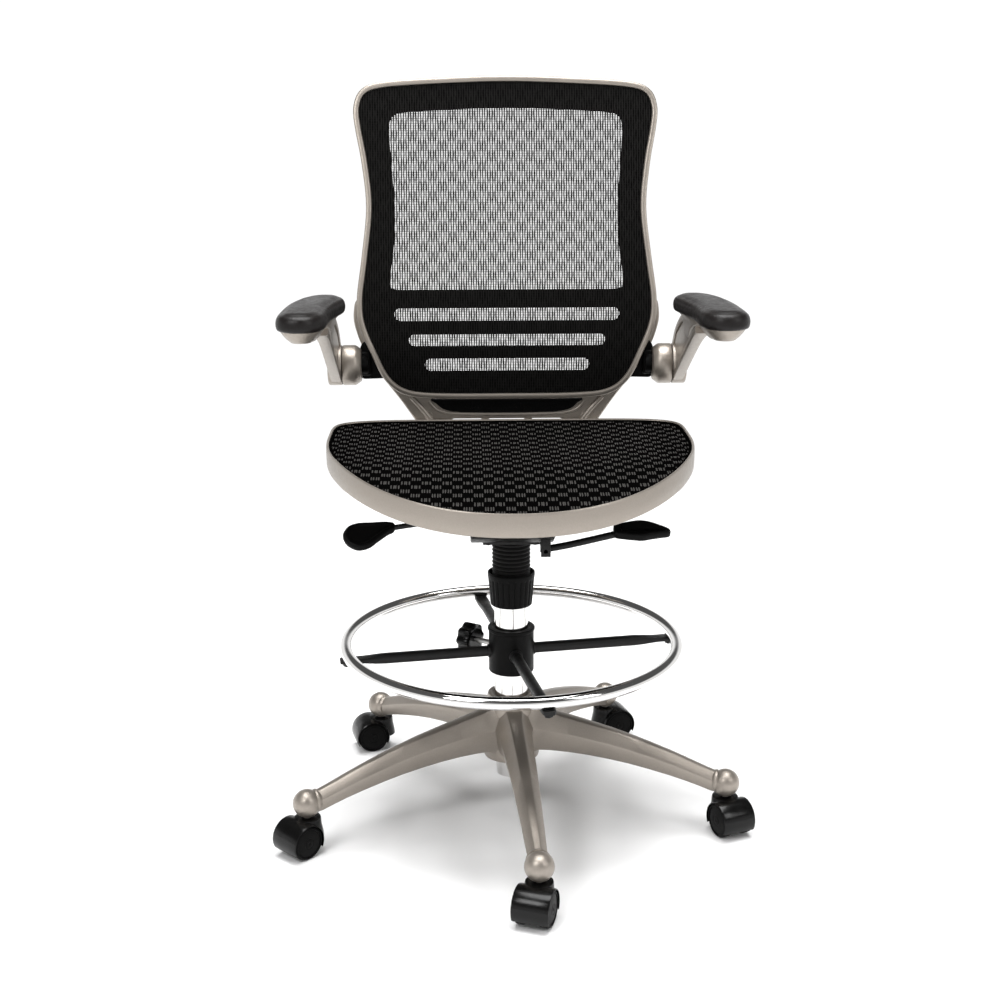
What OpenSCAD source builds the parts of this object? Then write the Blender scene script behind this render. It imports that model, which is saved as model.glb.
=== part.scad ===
// Drafting chair: mesh seat and mesh back on a gas column with a foot ring and five casters.
// Millimetres. Origin on the swivel axis at the floor, +Z up, the chair faces -Y.

/* [Base] */
// Distance from the column axis to a caster stem
stem_circle_r = 323.6; // [290:1:345]
// Rotation of the five-arm base about the column
base_yaw = 4.8; // [0:0.2:72]
// Radius of the ball at the end of each base leg
ball_r = 20.5; // [18:0.5:24]
// Wheel radius of the casters
wheel_r = 25; // [22:0.5:30]
// Horizontal distance from caster stem to axle
caster_trail = 18; // [12:1:24]

/* [Column] */
// Outer radius of the column tube
tube_r = 25; // [25:0.5:27]
// Radius of the gas cylinder that carries the seat
cylinder_r = 14; // [13.5:0.5:15]

/* [Foot ring] */
// Centreline radius of the foot ring
ring_r = 245; // [220:1:260]
// Radius of the foot ring tube
ring_tube_r = 9; // [8:0.5:11]
// Height of the foot ring centreline
ring_z = 285; // [283:1:290]
// Rotation of the foot ring spokes about the column
ring_yaw = 10; // [0:1:45]

/* [Seat] */
// Half width of the seat frame
seat_half_w = 271; // [258:1:275]
// Height of the seat edge at the sides
seat_top_z = 580; // [578:1:584]
// Drop of the front edge below the sides
seat_front_drop = 29; // [15:1:35]

/* [Back] */
// Width of the bright rim round the back
rim_w = 9; // [7:0.5:12]
// Half width of the window in the back panel
window_half_w = 174; // [150:1:178]

/* [Arms] */
// Height of the arm pad tops
pad_top_z = 793; // [785:1:798]
// Arm pad thickness
pad_h = 25; // [22:1:30]

/* [Hidden] */
$fn = 64;

run_gap = 0.05;       // radial clearance of a running fit
part_gap = 0.5;       // clearance between moving neighbours
over = 1;             // how far a cutting tool reaches past the face it cuts

silver = [0.59, 0.56, 0.53];
black = [0.09, 0.09, 0.09];
steel = [0.66, 0.66, 0.66];
bright = [0.85, 0.86, 0.88];

// Heights above the casters are measured from a datum this far from the floor
datum_z = -12;

// Base
leg_count = 5;
leg_pitch = 360 / leg_count;
hub_z0 = 105;
hub_z1 = 205;
hub_r0 = 41.5;
hub_r1 = 35.5;
// [distance from the axis, width, underside, top] along an arched leg
leg_stations = [[35, 50, 121, 184], [130, 42, 117, 164], [220, 34.5, 101, 137], [315, 27, 71, 100]];
// [distance from the axis, height] of the roof of the channel under a leg
channel_roof = [[52, 150], [130, 140], [220, 118], [288, 92]];
channel_share = 0.27;
// Crease height, foot width and ridge width of a leg's cross-section, as shares of the whole
leg_crease = 0.58;
leg_foot = 0.34;
leg_ridge = 0.16;
ball_z = 86;
ball_cut_z = 66;
ball_flat = 0.1;
stem_r = 5.5;
stem_z0 = 30;
stem_z1 = 96;
stem_room = 2;

// Casters: resting swivel angle of each, 0 trails towards -Y
caster_swivel = [-20, 22, 105, -75, -45];
hood_r = 27.5;
hood_half_w = 26;
wheel_w = 15.5;
wheel_x0 = 9.5;
axle_r = 4;
hood_post_r = 19.5;
hood_post_z0 = 22;
hood_top_z = 53.5;
hood_bottom_z = 13;
hood_web_half = 8.7;
hood_room = 0.7;
hood_cut = 60;
axle_half = 22;
wheel_bore_at = 16;
wheel_bore_half = 7;

// Column
tube_z0 = 75;
tube_wall = 1.6;
tube_z1 = 357;
tube_neck_r = 22;
tube_foot_z = 79;
bearing_z1 = 85.9;
bearing_r = 15;
bush_z0 = 255;
rod_r = 5;
rod_z0 = 66;
rod_z1 = 330;
shoulder_z0 = 86;
shoulder_h = 4;
shoulder_r = 9;
piston_h = 15;
clip_z0 = 69;
clip_z1 = 74.8;
cup_z0 = 344;
cup_z1 = 394;
cup_floor_z1 = 370;
cup_r0 = 30.5;
cup_r1 = 34.5;
cup_bore_r0 = 29;
cup_bore_r1 = 31.8;
flutes = 24;
flute_r = 1.4;
flute_lean = 4.4;
flute_stop = 8;
bellows_r = 28.4;
bellows_inner_r = 15.5;
bellows_depth = 2.4;
bellows_gap = 0.2;
bellows_folds = 12;
lift_z0 = 100;
taper_z0 = 440;
taper_z1 = 480;
taper_r1 = 13;
lift_bore_r = 12.2;
lift_foot_t = 4;
lift_cap_z = 430;
pin_r = 3;
pin_z0 = 438;
pin_z1 = 486;

// Tilt mechanism
plate_z = 443;
house_z0 = 449;
house_half_w = 60;
house_y0 = -85;
house_y1 = 90;
house_top_front = 500;
house_slope_y = -30;
house_slope = 17;
house_wall = 4;
house_chin = 20;
house_chin_len = 45;
house_nose = 14;
socket_boss_r = 21;
socket_boss_z1 = 478;
socket_half = [42, 32];
tilt_y = -55;
tilt_z = 492;
tilt_axle_r = 5;
tilt_axle_half = 66;
axle_head_t = 3;
axle_head_r = 8;
torsion_at = 34;
torsion_len = 40;
torsion_r = 10;
height_pivot = [-45, 0, 478];
tilt_lever_pivot = [47, -60, 445];
lever_pin_r = 3;
lever_pin_half = 14;
lever_hub_r = 7;
lever_hub_half = 8.4;
ear_w = 14;
ear_t = 5;
ear_at = 11.5;
ear_cap = 6;
// [corner, size] of the openings in the housing for the two levers
height_slot = [[-61, -9, 462], [6, 18, 40]];
tilt_slot = [[37, -69, 444], [30, 18, 22]];
height_bar_r = 4;
tilt_bar_r = 5;

// Seat
seat_plate_z0 = 511;
seat_plate_z1 = 515;
seat_plate_half_w = 80;
seat_centre_y = 80;
seat_front_len = 334;
seat_rear_len = 125;
seat_wall = 5;
ledge_w = 22;
ledge_top = 9;
ledge_bottom = 28;
band_h_front = 33;
band_h_rear = 22;
// The front edge drops along a curve that starts here
front_drop_y = -60;
front_drop_len = 190;
front_drop_power = 1.6;
// The band narrows from front to rear over this stretch
band_y0 = -100;
band_len = 290;
// Squareness of the seat outline's front and rear halves
front_square = 2.2;
rear_square = 6;
mesh_top = 4;
weave_lap = 0.5;
// Block the seat's outlines are cut from
seat_cut_x = 280;
seat_cut_z0 = 480;
seat_cut_h = 120;
// [front face, half length] of the two rails under the seat
rails = [[-55, 238], [90, 256]];
rail_depth = 30;
rail_foot_w = 150;
rail_step = 10;
rail_end_w = 35;
rail_t = 12;
seat_plate_y0 = -80;
seat_plate_len = 205;
cheek_t = 4;
cheek_half_w = 17;
cheek_drop = 12;
seat_bolt_x = 70;
seat_bolt_y = [-40, 105];
seat_bolt_r = 3;
seat_bolt_head_r = 5.5;

// Back and its support
rim_front = 3;
rim_back = 15;
sheet_t = 2;
panel_t = 8;
yoke_y0 = 222;
yoke_y1 = 236;
back_top_z = 1101;
back_bottom_z = 612;
// Front face of the back: its depth at the waist, and how far it leans above and below
waist_y = 196;
waist_z = 700;
lean_top = 84;
lean_foot = 12;
lean_foot_h = 102;
lean_top_power = 1.35;
lean_foot_power = 1.5;
// Block the back's outlines are cut from
back_cut_x = 250;
back_cut_y0 = 150;
back_cut_y1 = 330;

// Arms
hinge_y = 205;
hinge_z = 667;
hinge_r = 31;
hub_x0 = 235;
hub_x1 = 255;
arm_x1 = 277;
arm_pin_r = 6;
arm_wall = 3;
hub_cone = 9;
hub_cone_drop = 6;
bracket_lap = 4;
bracket_z0 = 645;
bracket_z1 = 692;
pad_nose = [285, -108];
pad_nose_r = 34;
pad_heel = [266, 66];
pad_heel_r = 28;
cup_h = 17;
nose_inset = 7;
heel_inset = 5;

// ---- helpers ----

function lerp(a, b, t) = a + (b - a) * t;
function clamp01(t) = max(0, min(1, t));
function power_cos(t, e) = sign(cos(t)) * pow(abs(cos(t)), 2 / e);
function power_sin(t, e) = sign(sin(t)) * pow(abs(sin(t)), 2 / e);

// Closed smooth curve through a ring of points
function curve_point(a, b, c, d, t) =
    0.5 * ((2 * b) + (c - a) * t + (2 * a - 5 * b + 4 * c - d) * t * t
    + (3 * b - a - 3 * c + d) * t * t * t);
function smooth_ring(p, steps) =
    let (n = len(p))
    [for (i = [0 : n - 1]) for (s = [0 : steps - 1])
        curve_point(p[(i + n - 1) % n], p[i], p[(i + 1) % n], p[(i + 2) % n], s / steps)];

// Moves every point of an anticlockwise ring inwards by d
function inset(p, d) =
    let (n = len(p))
    [for (i = [0 : n - 1])
        let (v = p[(i + 1) % n] - p[(i + n - 1) % n], l = norm(v))
        p[i] + d * [-v[1], v[0]] / l];

// Right half of a symmetric ring, bottom to top, completed with its mirror image
function mirrored(half) =
    concat(half, [for (i = [len(half) - 2 : -1 : 1]) [-half[i][0], half[i][1]]]);

// Extrudes an outline drawn in the XZ plane from y0 to y1
module along_y(y0, y1) {
    translate([0, y1, 0]) rotate([90, 0, 0]) linear_extrude(y1 - y0) children();
}

// Extrudes an outline drawn in the YZ plane from x0 to x1
module along_x(x0, x1) {
    translate([x0, 0, 0]) rotate([90, 0, 90]) linear_extrude(x1 - x0) children();
}

// Cylinder along X or Y through a point
module rod_x(x0, x1, y, z, r) {
    translate([x0, y, z]) rotate([0, 90, 0]) cylinder(h = x1 - x0, r = r);
}
module rod_y(y0, y1, x, z, r) {
    translate([x, y0, z]) rotate([-90, 0, 0]) cylinder(h = y1 - y0, r = r);
}

// Tube between two heights
module tube(z0, z1, r_out, r_in) {
    difference() {
        translate([0, 0, z0]) cylinder(h = z1 - z0, r = r_out);
        translate([0, 0, z0 - 1]) cylinder(h = z1 - z0 + 2, r = r_in);
    }
}

// Outline round two circles, with straight tangents between them
module two_circles(a, ra, b, rb) {
    d = b - a;
    l = norm(d);
    head = atan2(d[1], d[0]);
    open = acos((ra - rb) / l);
    translate(a) circle(r = ra);
    translate(b) circle(r = rb);
    polygon([a + ra * [cos(head + open), sin(head + open)], a + ra * [cos(head - open), sin(head - open)],
             b + rb * [cos(head - open), sin(head - open)], b + rb * [cos(head + open), sin(head + open)]]);
}

// ---- base ----

// Six corners of a leg's cross-section
function leg_section(r, w, z0, z1) =
    let (crease = lerp(z0, z1, leg_crease), foot = w * leg_foot, ridge = w * leg_ridge)
    [[-foot, -r, z0], [foot, -r, z0], [w / 2, -r, crease],
     [ridge, -r, z1], [-ridge, -r, z1], [-w / 2, -r, crease]];

module base_leg() {
    rings = len(leg_stations);
    polyhedron([for (s = leg_stations) each leg_section(s[0], s[1], s[2], s[3])], concat(
        [[0, 1, 2, 3, 4, 5], [for (i = [5 : -1 : 0]) 6 * (rings - 1) + i]],
        [for (k = [0 : rings - 2]) for (i = [0 : 5])
            each [[6 * k + i, 6 * k + 6 + i, 6 * k + (i + 1) % 6],
                  [6 * k + (i + 1) % 6, 6 * k + 6 + i, 6 * k + 6 + (i + 1) % 6]]]));
}

// Open channel under a leg
module leg_channel() {
    root = channel_roof[0][0];
    tip = channel_roof[3][0];
    root_w = leg_stations[0][1] * channel_share;
    tip_w = leg_stations[3][1] * channel_share;
    intersection() {
        linear_extrude(hub_z1) polygon([[-root_w, -root], [-tip_w, -tip], [tip_w, -tip], [root_w, -root]]);
        along_x(-root_w, root_w)
            polygon(concat([[-tip, 0], [-root, 0]], [for (c = channel_roof) [-c[0], c[1]]]));
    }
}

module leg_end() {
    translate([0, -stem_circle_r, 0]) intersection() {
        translate([0, 0, ball_z]) sphere(r = ball_r);
        translate([-ball_r, -ball_r, ball_cut_z])
            cube([2 * ball_r, 2 * ball_r, ball_z + ball_r - ball_flat - ball_cut_z]);
    }
}

// Sets down onto the caster stems what is drawn from the datum
module placed() {
    translate([0, 0, datum_z]) children();
}

module each_leg() {
    for (k = [0 : leg_count - 1]) rotate([0, 0, base_yaw + leg_pitch * k]) children();
}

module star_base() {
    color(silver) difference() {
        union() {
            each_leg() base_leg();
            each_leg() leg_end();
            translate([0, 0, hub_z0]) cylinder(h = hub_z1 - hub_z0, r1 = hub_r0, r2 = hub_r1);
        }
        each_leg() leg_channel();
        translate([0, 0, hub_z0 - over]) cylinder(h = hub_z1 - hub_z0 + 2 * over, r = tube_r);
        each_leg() translate([0, -stem_circle_r, ball_cut_z - over])
            cylinder(h = stem_z1 + stem_room + over - ball_cut_z, r = stem_r + run_gap);
    }
}

module column_tube() {
    color(bright) difference() {
        union() {
            translate([0, 0, hub_z0]) cylinder(h = tube_z1 - hub_z0, r = tube_r);
            translate([0, 0, tube_z0]) cylinder(h = hub_z0 - tube_z0, r1 = tube_neck_r, r2 = tube_r);
        }
        translate([0, 0, hub_z0]) cylinder(h = tube_z1, r = tube_r - tube_wall);
        translate([0, 0, tube_foot_z]) cylinder(h = hub_z0 - tube_z0, r = tube_neck_r - tube_wall);
        translate([0, 0, tube_z0 - over])
            cylinder(h = tube_foot_z - tube_z0 + 2 * over, r = rod_r + run_gap);
    }
}

module column_bush() {
    color(black) tube(bush_z0, tube_z1, tube_r - tube_wall, cylinder_r + run_gap);
}

module thrust_bearing() {
    color(steel) tube(tube_foot_z, bearing_z1, bearing_r, rod_r + run_gap);
}

module dust_cup() {
    color(black) difference() {
        union() {
            translate([0, 0, cup_z0]) cylinder(h = cup_z1 - cup_z0, r1 = cup_r0, r2 = cup_r1);
            for (k = [0 : flutes - 1]) rotate([0, 0, k * 360 / flutes])
                translate([cup_r0 - flute_r / 2, 0, cup_z0]) rotate([0, flute_lean, 0])
                    cylinder(h = cup_z1 - cup_z0 - flute_stop, r = flute_r, $fn = 16);
        }
        translate([0, 0, cup_z0 - over]) cylinder(h = tube_z1 - cup_z0 + over, r = tube_r);
        translate([0, 0, cup_z0]) cylinder(h = cup_z1 - cup_z0, r = cylinder_r + part_gap);
        translate([0, 0, cup_floor_z1])
            cylinder(h = cup_z1 - cup_floor_z1 + over, r1 = cup_bore_r0, r2 = cup_bore_r1);
    }
}

// ---- foot ring ----

sleeve_z0 = 240;
sleeve_z1 = 309;
sleeve_r = 33.5;
sleeve_lip_h = 4;
sleeve_lip = 1.2;
ring_wall = 1.6;
spoke_r = 8;
spoke_drop = 13;
spoke_z = ring_z - spoke_drop;
spoke_root = 29;
spoke_tip = 222;
tab_top = ring_z - ring_tube_r;
tab_t = 7;
tab_half_w = 10;
tab_lap = 14;
bolt_r = 3;
bolt_reach = 7.5;
bolt_head_r = 6;
bolt_head_h = 5;
knob_angle = 145;
knob_z = 275;
knob_r0 = 64;
knob_r1 = 86;
knob_core_r = 20.5;
knob_lobes = 8;
knob_lobe_r = 4;
knob_lobe_at = 20;
knob_cap = 6;
screw_r = 4;

module each_spoke() {
    for (k = [0 : 3]) rotate([0, 0, ring_yaw + 90 * k]) children();
}

module foot_ring() {
    color(bright) difference() {
        translate([0, 0, ring_z]) rotate_extrude($fn = 128) translate([ring_r, 0]) difference() {
            circle(r = ring_tube_r);
            circle(r = ring_tube_r - ring_wall);
        }
        each_spoke() translate([ring_r, 0, tab_top - over])
            cylinder(h = bolt_reach + part_gap + over, r = bolt_r);
    }
}

module ring_sleeve() {
    color(black) difference() {
        union() {
            translate([0, 0, sleeve_z0]) cylinder(h = sleeve_z1 - sleeve_z0 - sleeve_lip_h, r = sleeve_r);
            translate([0, 0, sleeve_z1 - sleeve_lip_h])
                cylinder(h = sleeve_lip_h, r = sleeve_r + sleeve_lip);
        }
        translate([0, 0, sleeve_z0 - over])
            cylinder(h = sleeve_z1 - sleeve_z0 + 2 * over, r = tube_r + run_gap);
        rotate([0, 0, knob_angle]) rod_x(0, 2 * sleeve_r, 0, knob_z, screw_r + run_gap);
        each_spoke() rod_x(spoke_root, 2 * sleeve_r, 0, spoke_z, spoke_r);
    }
}

module ring_spokes() {
    color(black) each_spoke() difference() {
        union() {
            rod_x(spoke_root, spoke_tip, 0, spoke_z, spoke_r);
            translate([spoke_tip - tab_lap, -tab_half_w, tab_top - tab_t])
                cube([ring_r + tab_half_w - spoke_tip + tab_lap, 2 * tab_half_w, tab_t]);
        }
        translate([ring_r, 0, tab_top - tab_t - over]) cylinder(h = tab_t + 2 * over, r = bolt_r);
    }
}

module ring_bolts() {
    color(black) each_spoke() translate([ring_r, 0, 0]) {
        translate([0, 0, tab_top - tab_t]) cylinder(h = tab_t + bolt_reach, r = bolt_r);
        translate([0, 0, tab_top - tab_t - bolt_head_h]) cylinder(h = bolt_head_h, r = bolt_head_r);
    }
}

module clamp_knob() {
    color(black) rotate([0, 0, knob_angle]) difference() {
        union() {
            rod_x(knob_r0, knob_r1, 0, knob_z, knob_core_r);
            for (k = [0 : knob_lobes - 1]) let (a = k * 360 / knob_lobes)
                rod_x(knob_r0, knob_r1, knob_lobe_at * cos(a), knob_z + knob_lobe_at * sin(a), knob_lobe_r);
        }
        rod_x(knob_r0 - over, knob_r1 - knob_cap, 0, knob_z, screw_r);
    }
}

module clamp_screw() {
    color(steel) rotate([0, 0, knob_angle]) rod_x(tube_r + part_gap, knob_r1 - knob_cap, 0, knob_z, screw_r);
}

// ---- gas spring inside the column ----

module piston_rod() {
    color(steel) {
        translate([0, 0, rod_z0]) cylinder(h = rod_z1 - rod_z0, r = rod_r);
        translate([0, 0, shoulder_z0]) cylinder(h = shoulder_h, r = shoulder_r);
    }
}

module piston() {
    color(black) translate([0, 0, rod_z1]) cylinder(h = piston_h, r = lift_bore_r - run_gap);
}

module rod_clip() {
    color(steel) tube(clip_z0, clip_z1, shoulder_r, rod_r);
}

// Pleated sleeve between the cup and the mechanism
module dust_bellows() {
    z0 = cup_floor_z1 + bellows_gap;
    z1 = plate_z - bellows_gap;
    pitch = (z1 - z0) / bellows_folds;
    root_r = bellows_r - bellows_depth;
    color(black) rotate_extrude() polygon(concat([[bellows_inner_r, z0]],
        [for (k = [0 : bellows_folds - 1])
            each [[root_r, z0 + pitch * k], [bellows_r, z0 + pitch * (k + 0.5)]]],
        [[root_r, z1], [bellows_inner_r, z1]]));
}

module lift_cylinder() {
    color(steel) difference() {
        union() {
            translate([0, 0, lift_z0]) cylinder(h = taper_z0 - lift_z0, r = cylinder_r);
            translate([0, 0, taper_z0]) cylinder(h = taper_z1 - taper_z0, r1 = cylinder_r, r2 = taper_r1);
        }
        translate([0, 0, lift_z0 + lift_foot_t])
            cylinder(h = lift_cap_z - lift_z0 - lift_foot_t, r = lift_bore_r);
        translate([0, 0, lift_z0 - over]) cylinder(h = lift_foot_t + 2 * over, r = rod_r + run_gap);
        translate([0, 0, lift_cap_z - over])
            cylinder(h = taper_z1 - lift_cap_z + 2 * over, r = pin_r + run_gap);
    }
}

module release_pin() {
    color(steel) translate([0, 0, pin_z0]) cylinder(h = pin_z1 - pin_z0, r = pin_r);
}

// ---- tilt mechanism ----

function house_top(y) = house_top_front - max(0, y - house_slope_y) * tan(house_slope);

module house_profile(z0, inset_by) {
    polygon([[house_y0 + inset_by, z0 + house_chin], [house_y0 + house_chin_len, z0],
             [house_y1 - inset_by, z0], [house_y1 - inset_by, house_top(house_y1)],
             [house_slope_y, house_top_front], [house_y0 + house_nose, house_top_front],
             [house_y0 + inset_by, house_top_front - house_nose + inset_by]]);
}

// A lever's pivot pin, or the bore for it, reaching half to either side
module pin_through(p, half) {
    rod_y(p[1] - half, p[1] + half, p[0], p[2], lever_pin_r);
}

module lever_ears(p, z0, z1) {
    for (s = [-1, 1]) translate([p[0] - ear_w / 2, p[1] + s * ear_at - ear_t / 2, z0])
        cube([ear_w, ear_t, z1 - z0]);
}

module tilt_housing() {
    color(black) difference() {
        union() {
            difference() {
                along_x(-house_half_w, house_half_w) house_profile(house_z0, 0);
                along_x(-house_half_w + house_wall, house_half_w - house_wall)
                    translate([0, house_wall]) house_profile(house_z0, house_wall);
            }
            translate([0, 0, house_z0]) cylinder(h = socket_boss_z1 - house_z0, r = socket_boss_r);
            lever_ears(height_pivot, house_z0, height_pivot[2] + ear_cap);
            lever_ears(tilt_lever_pivot, tilt_lever_pivot[2] - ear_cap - 2, house_z0 + house_chin);
        }
        translate([0, 0, taper_z0]) cylinder(h = taper_z1 - taper_z0, r1 = cylinder_r, r2 = taper_r1);
        rod_x(-tilt_axle_half, tilt_axle_half, tilt_y, tilt_z, tilt_axle_r);
        pin_through(height_pivot, lever_pin_half + over);
        pin_through(tilt_lever_pivot, lever_pin_half + over);
        for (slot = [height_slot, tilt_slot]) translate(slot[0]) cube(slot[1]);
    }
}

module socket_plate() {
    color(silver) difference() {
        translate([-socket_half[0], -socket_half[1], plate_z])
            cube([2 * socket_half[0], 2 * socket_half[1], house_z0 - plate_z]);
        translate([0, 0, plate_z - over]) cylinder(h = house_z0 - plate_z + 2 * over, r = cylinder_r);
    }
}

module tilt_axle() {
    color(steel) {
        rod_x(-tilt_axle_half, tilt_axle_half, tilt_y, tilt_z, tilt_axle_r);
        rod_x(tilt_axle_half, tilt_axle_half + axle_head_t, tilt_y, tilt_z, axle_head_r);
        rod_x(-tilt_axle_half - axle_head_t, -tilt_axle_half, tilt_y, tilt_z, axle_head_r);
    }
}

module torsion_bushes() {
    color(black) for (s = [-1, 1]) translate([s * torsion_at, tilt_y, tilt_z]) rotate([0, 90, 0])
        difference() {
            cylinder(h = torsion_len, r = torsion_r, center = true);
            cylinder(h = torsion_len + 2 * over, r = tilt_axle_r, center = true);
        }
}

module lever_pins() {
    color(steel) {
        pin_through(height_pivot, lever_pin_half);
        pin_through(tilt_lever_pivot, lever_pin_half);
    }
}

// A bar from a pivot to a point in the XZ plane, with a hub that turns on the pivot pin
module lever_bar(p, x1, z1, r) {
    difference() {
        union() {
            bar_between(p, x1, z1, r);
            rod_y(p[1] - lever_hub_half, p[1] + lever_hub_half, p[0], p[2], lever_hub_r);
            children();
        }
        rod_y(p[1] - lever_hub_half - over, p[1] + lever_hub_half + over, p[0], p[2],
              lever_pin_r + run_gap);
    }
}

// Both hand plates lie on the end of their bar, tipped towards the front
plate_tip = 32;
paddle_x = -175;
paddle_z = 461;
paddle_t = 11;
paddle_lap = 5;
paddle_neck_r = 12;
paddle_blade = [-40, -15];
paddle_blade_r = 25;
// The finger of the height lever that presses the gas valve
finger_w = 8;
finger_post = 6;
finger_z = 8.2;
finger_t = 3;
finger_len = 49;

module hand_plate(x, y, z, thick) {
    translate([x, y, z]) rotate([plate_tip, 0, 0]) linear_extrude(thick, center = true) children();
}

// Bar of a lever from its pivot to a point in the XZ plane
module bar_between(p, x1, z1, r) {
    translate(p) rotate([0, atan2(x1 - p[0], z1 - p[2]), 0])
        cylinder(h = norm([x1 - p[0], z1 - p[2]]), r = r);
}

module height_lever() {
    color(steel) lever_bar(height_pivot, paddle_x, paddle_z, height_bar_r) {
        translate([height_pivot[0] - finger_post / 2, -finger_w / 2, height_pivot[2]])
            cube([finger_post, finger_w, finger_z + finger_t]);
        translate([height_pivot[0], -finger_w / 2, height_pivot[2] + finger_z])
            cube([finger_len, finger_w, finger_t]);
    }
}

module height_paddle() {
    color(black) difference() {
        hand_plate(paddle_x - paddle_lap, 0, paddle_z, paddle_t)
            two_circles([0, 0], paddle_neck_r, paddle_blade, paddle_blade_r);
        bar_between(height_pivot, paddle_x, paddle_z, height_bar_r);
    }
}

grip_x = 165;
grip_z = 471;
grip_t = 13;
// [x, y, radius] of the circles the grip is drawn round
grip_circles = [[-10, 0, 11], [17, 0, 17], [54, -4, 6]];

module tilt_lever() {
    color(steel) lever_bar(tilt_lever_pivot, grip_x, grip_z, tilt_bar_r);
}

module tilt_grip() {
    color(black) difference() {
        hand_plate(grip_x, tilt_lever_pivot[1], grip_z, grip_t)
            hull() for (c = grip_circles) translate([c[0], c[1]]) circle(r = c[2]);
        bar_between(tilt_lever_pivot, grip_x, grip_z, tilt_bar_r);
    }
}

// ---- seat ----

seat_steps = 18;
seat_outline = concat(
    [for (i = [0 : seat_steps]) let (t = 180 + 180 * i / seat_steps)
        [seat_half_w * power_cos(t, front_square),
         seat_centre_y + seat_front_len * power_sin(t, front_square)]],
    [for (i = [1 : seat_steps - 1]) let (t = 180 * i / seat_steps)
        [seat_half_w * power_cos(t, rear_square),
         seat_centre_y + seat_rear_len * power_sin(t, rear_square)]]);

function seat_z(y) =
    seat_top_z - seat_front_drop * pow(max(0, front_drop_y - y) / front_drop_len, front_drop_power);
function band_h(y) = lerp(band_h_front, band_h_rear, clamp01((y - band_y0) / band_len));
seat_y = [-260, -230, -200, -170, -140, -110, -80, -60, 0, 60, 120, 210];

// Side profile between two depths below the seat edge
module seat_slab(top, bottom) {
    polygon(concat([for (y = seat_y) [y, seat_z(y) - top]],
                   [for (i = [len(seat_y) - 1 : -1 : 0]) [seat_y[i], seat_z(seat_y[i]) - bottom]]));
}

module seat_band_profile() {
    polygon(concat([for (y = seat_y) [y, seat_z(y)]],
                   [for (i = [len(seat_y) - 1 : -1 : 0])
                       [seat_y[i], seat_z(seat_y[i]) - band_h(seat_y[i])]]));
}

module seat_ring(outer, inner) {
    translate([0, 0, seat_cut_z0]) linear_extrude(seat_cut_h) difference() {
        polygon(inset(seat_outline, outer));
        polygon(inset(seat_outline, inner));
    }
}

module seat_frame() {
    color(silver) union() {
        intersection() {
            seat_ring(0, seat_wall);
            along_x(-seat_cut_x, seat_cut_x) seat_band_profile();
        }
        intersection() {
            seat_ring(seat_wall - weave_lap, ledge_w);
            along_x(-seat_cut_x, seat_cut_x) seat_slab(ledge_top, ledge_bottom);
            along_x(-seat_cut_x, seat_cut_x) seat_band_profile();
        }
    }
}

module seat_mesh() {
    color([0.12, 0.12, 0.12]) intersection() {
        translate([0, 0, seat_cut_z0]) linear_extrude(seat_cut_h) polygon(inset(seat_outline, seat_wall));
        along_x(-seat_cut_x, seat_cut_x) seat_slab(mesh_top, ledge_top);
    }
}

module seat_rail(y0, reach) {
    low = seat_top_z - band_h(y0) - rail_step;
    high = seat_top_z - min(ledge_bottom, band_h(y0));
    top_w = rail_foot_w - rail_step;
    along_y(y0, y0 + rail_depth) polygon([[-rail_foot_w, seat_plate_z1], [rail_foot_w, seat_plate_z1],
        [reach, low], [reach, high], [reach - rail_end_w, high],
        [top_w, seat_plate_z1 + rail_t], [-top_w, seat_plate_z1 + rail_t],
        [rail_end_w - reach, high], [-reach, high], [-reach, low]]);
}

module seat_rails() {
    color(black) for (rail = rails) seat_rail(rail[0], rail[1]);
}

module at_seat_bolts() {
    for (x = [-seat_bolt_x, seat_bolt_x], y = seat_bolt_y) translate([x, y, 0]) children();
}

module seat_plate() {
    cheek_x0 = house_half_w + part_gap;
    color(black) difference() {
        union() {
            translate([-seat_plate_half_w, seat_plate_y0, seat_plate_z0])
                cube([2 * seat_plate_half_w, seat_plate_len, seat_plate_z1 - seat_plate_z0]);
            for (s = [-1, 1])
                translate([s * (cheek_x0 + cheek_t / 2) - cheek_t / 2, tilt_y - cheek_half_w,
                           tilt_z - cheek_drop])
                    cube([cheek_t, 2 * cheek_half_w, seat_plate_z0 - tilt_z + cheek_drop]);
        }
        rod_x(-seat_plate_half_w, seat_plate_half_w, tilt_y, tilt_z, tilt_axle_r + run_gap);
        at_seat_bolts() translate([0, 0, seat_plate_z0 - over])
            cylinder(h = seat_plate_z1 - seat_plate_z0 + 2 * over, r = seat_bolt_r);
    }
}

module seat_bolts() {
    bolt_t = seat_plate_z1 - seat_plate_z0;
    color(steel) at_seat_bolts() {
        translate([0, 0, seat_plate_z0]) cylinder(h = bolt_t, r = seat_bolt_r);
        translate([0, 0, seat_plate_z0 - bolt_t]) cylinder(h = bolt_t, r = seat_bolt_head_r);
    }
}

// ---- back ----

// Depth of the back's front face at a height: curved in at the waist, leaning back above
function lean(z) = waist_y
    + lean_top * pow(clamp01((z - waist_z) / (back_top_z - waist_z)), lean_top_power)
    + lean_foot * pow(clamp01((waist_z - z) / lean_foot_h), lean_foot_power);
back_z = [590, 620, 660, 700, 760, 820, 880, 940, 1000, 1060, 1110];

// [x, z] points of the outlines' right halves, bottom to top
back_outline = smooth_ring(mirrored([[0, back_bottom_z], [110, 613], [160, 620], [190, 643],
    [211, 686], [228, 730], [231, 770], [223, 830], [215, 905], [221, 970], [231, 1025],
    [233, 1055], [222, 1080], [190, 1092], [100, 1098], [0, back_top_z]]), 3);

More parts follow.
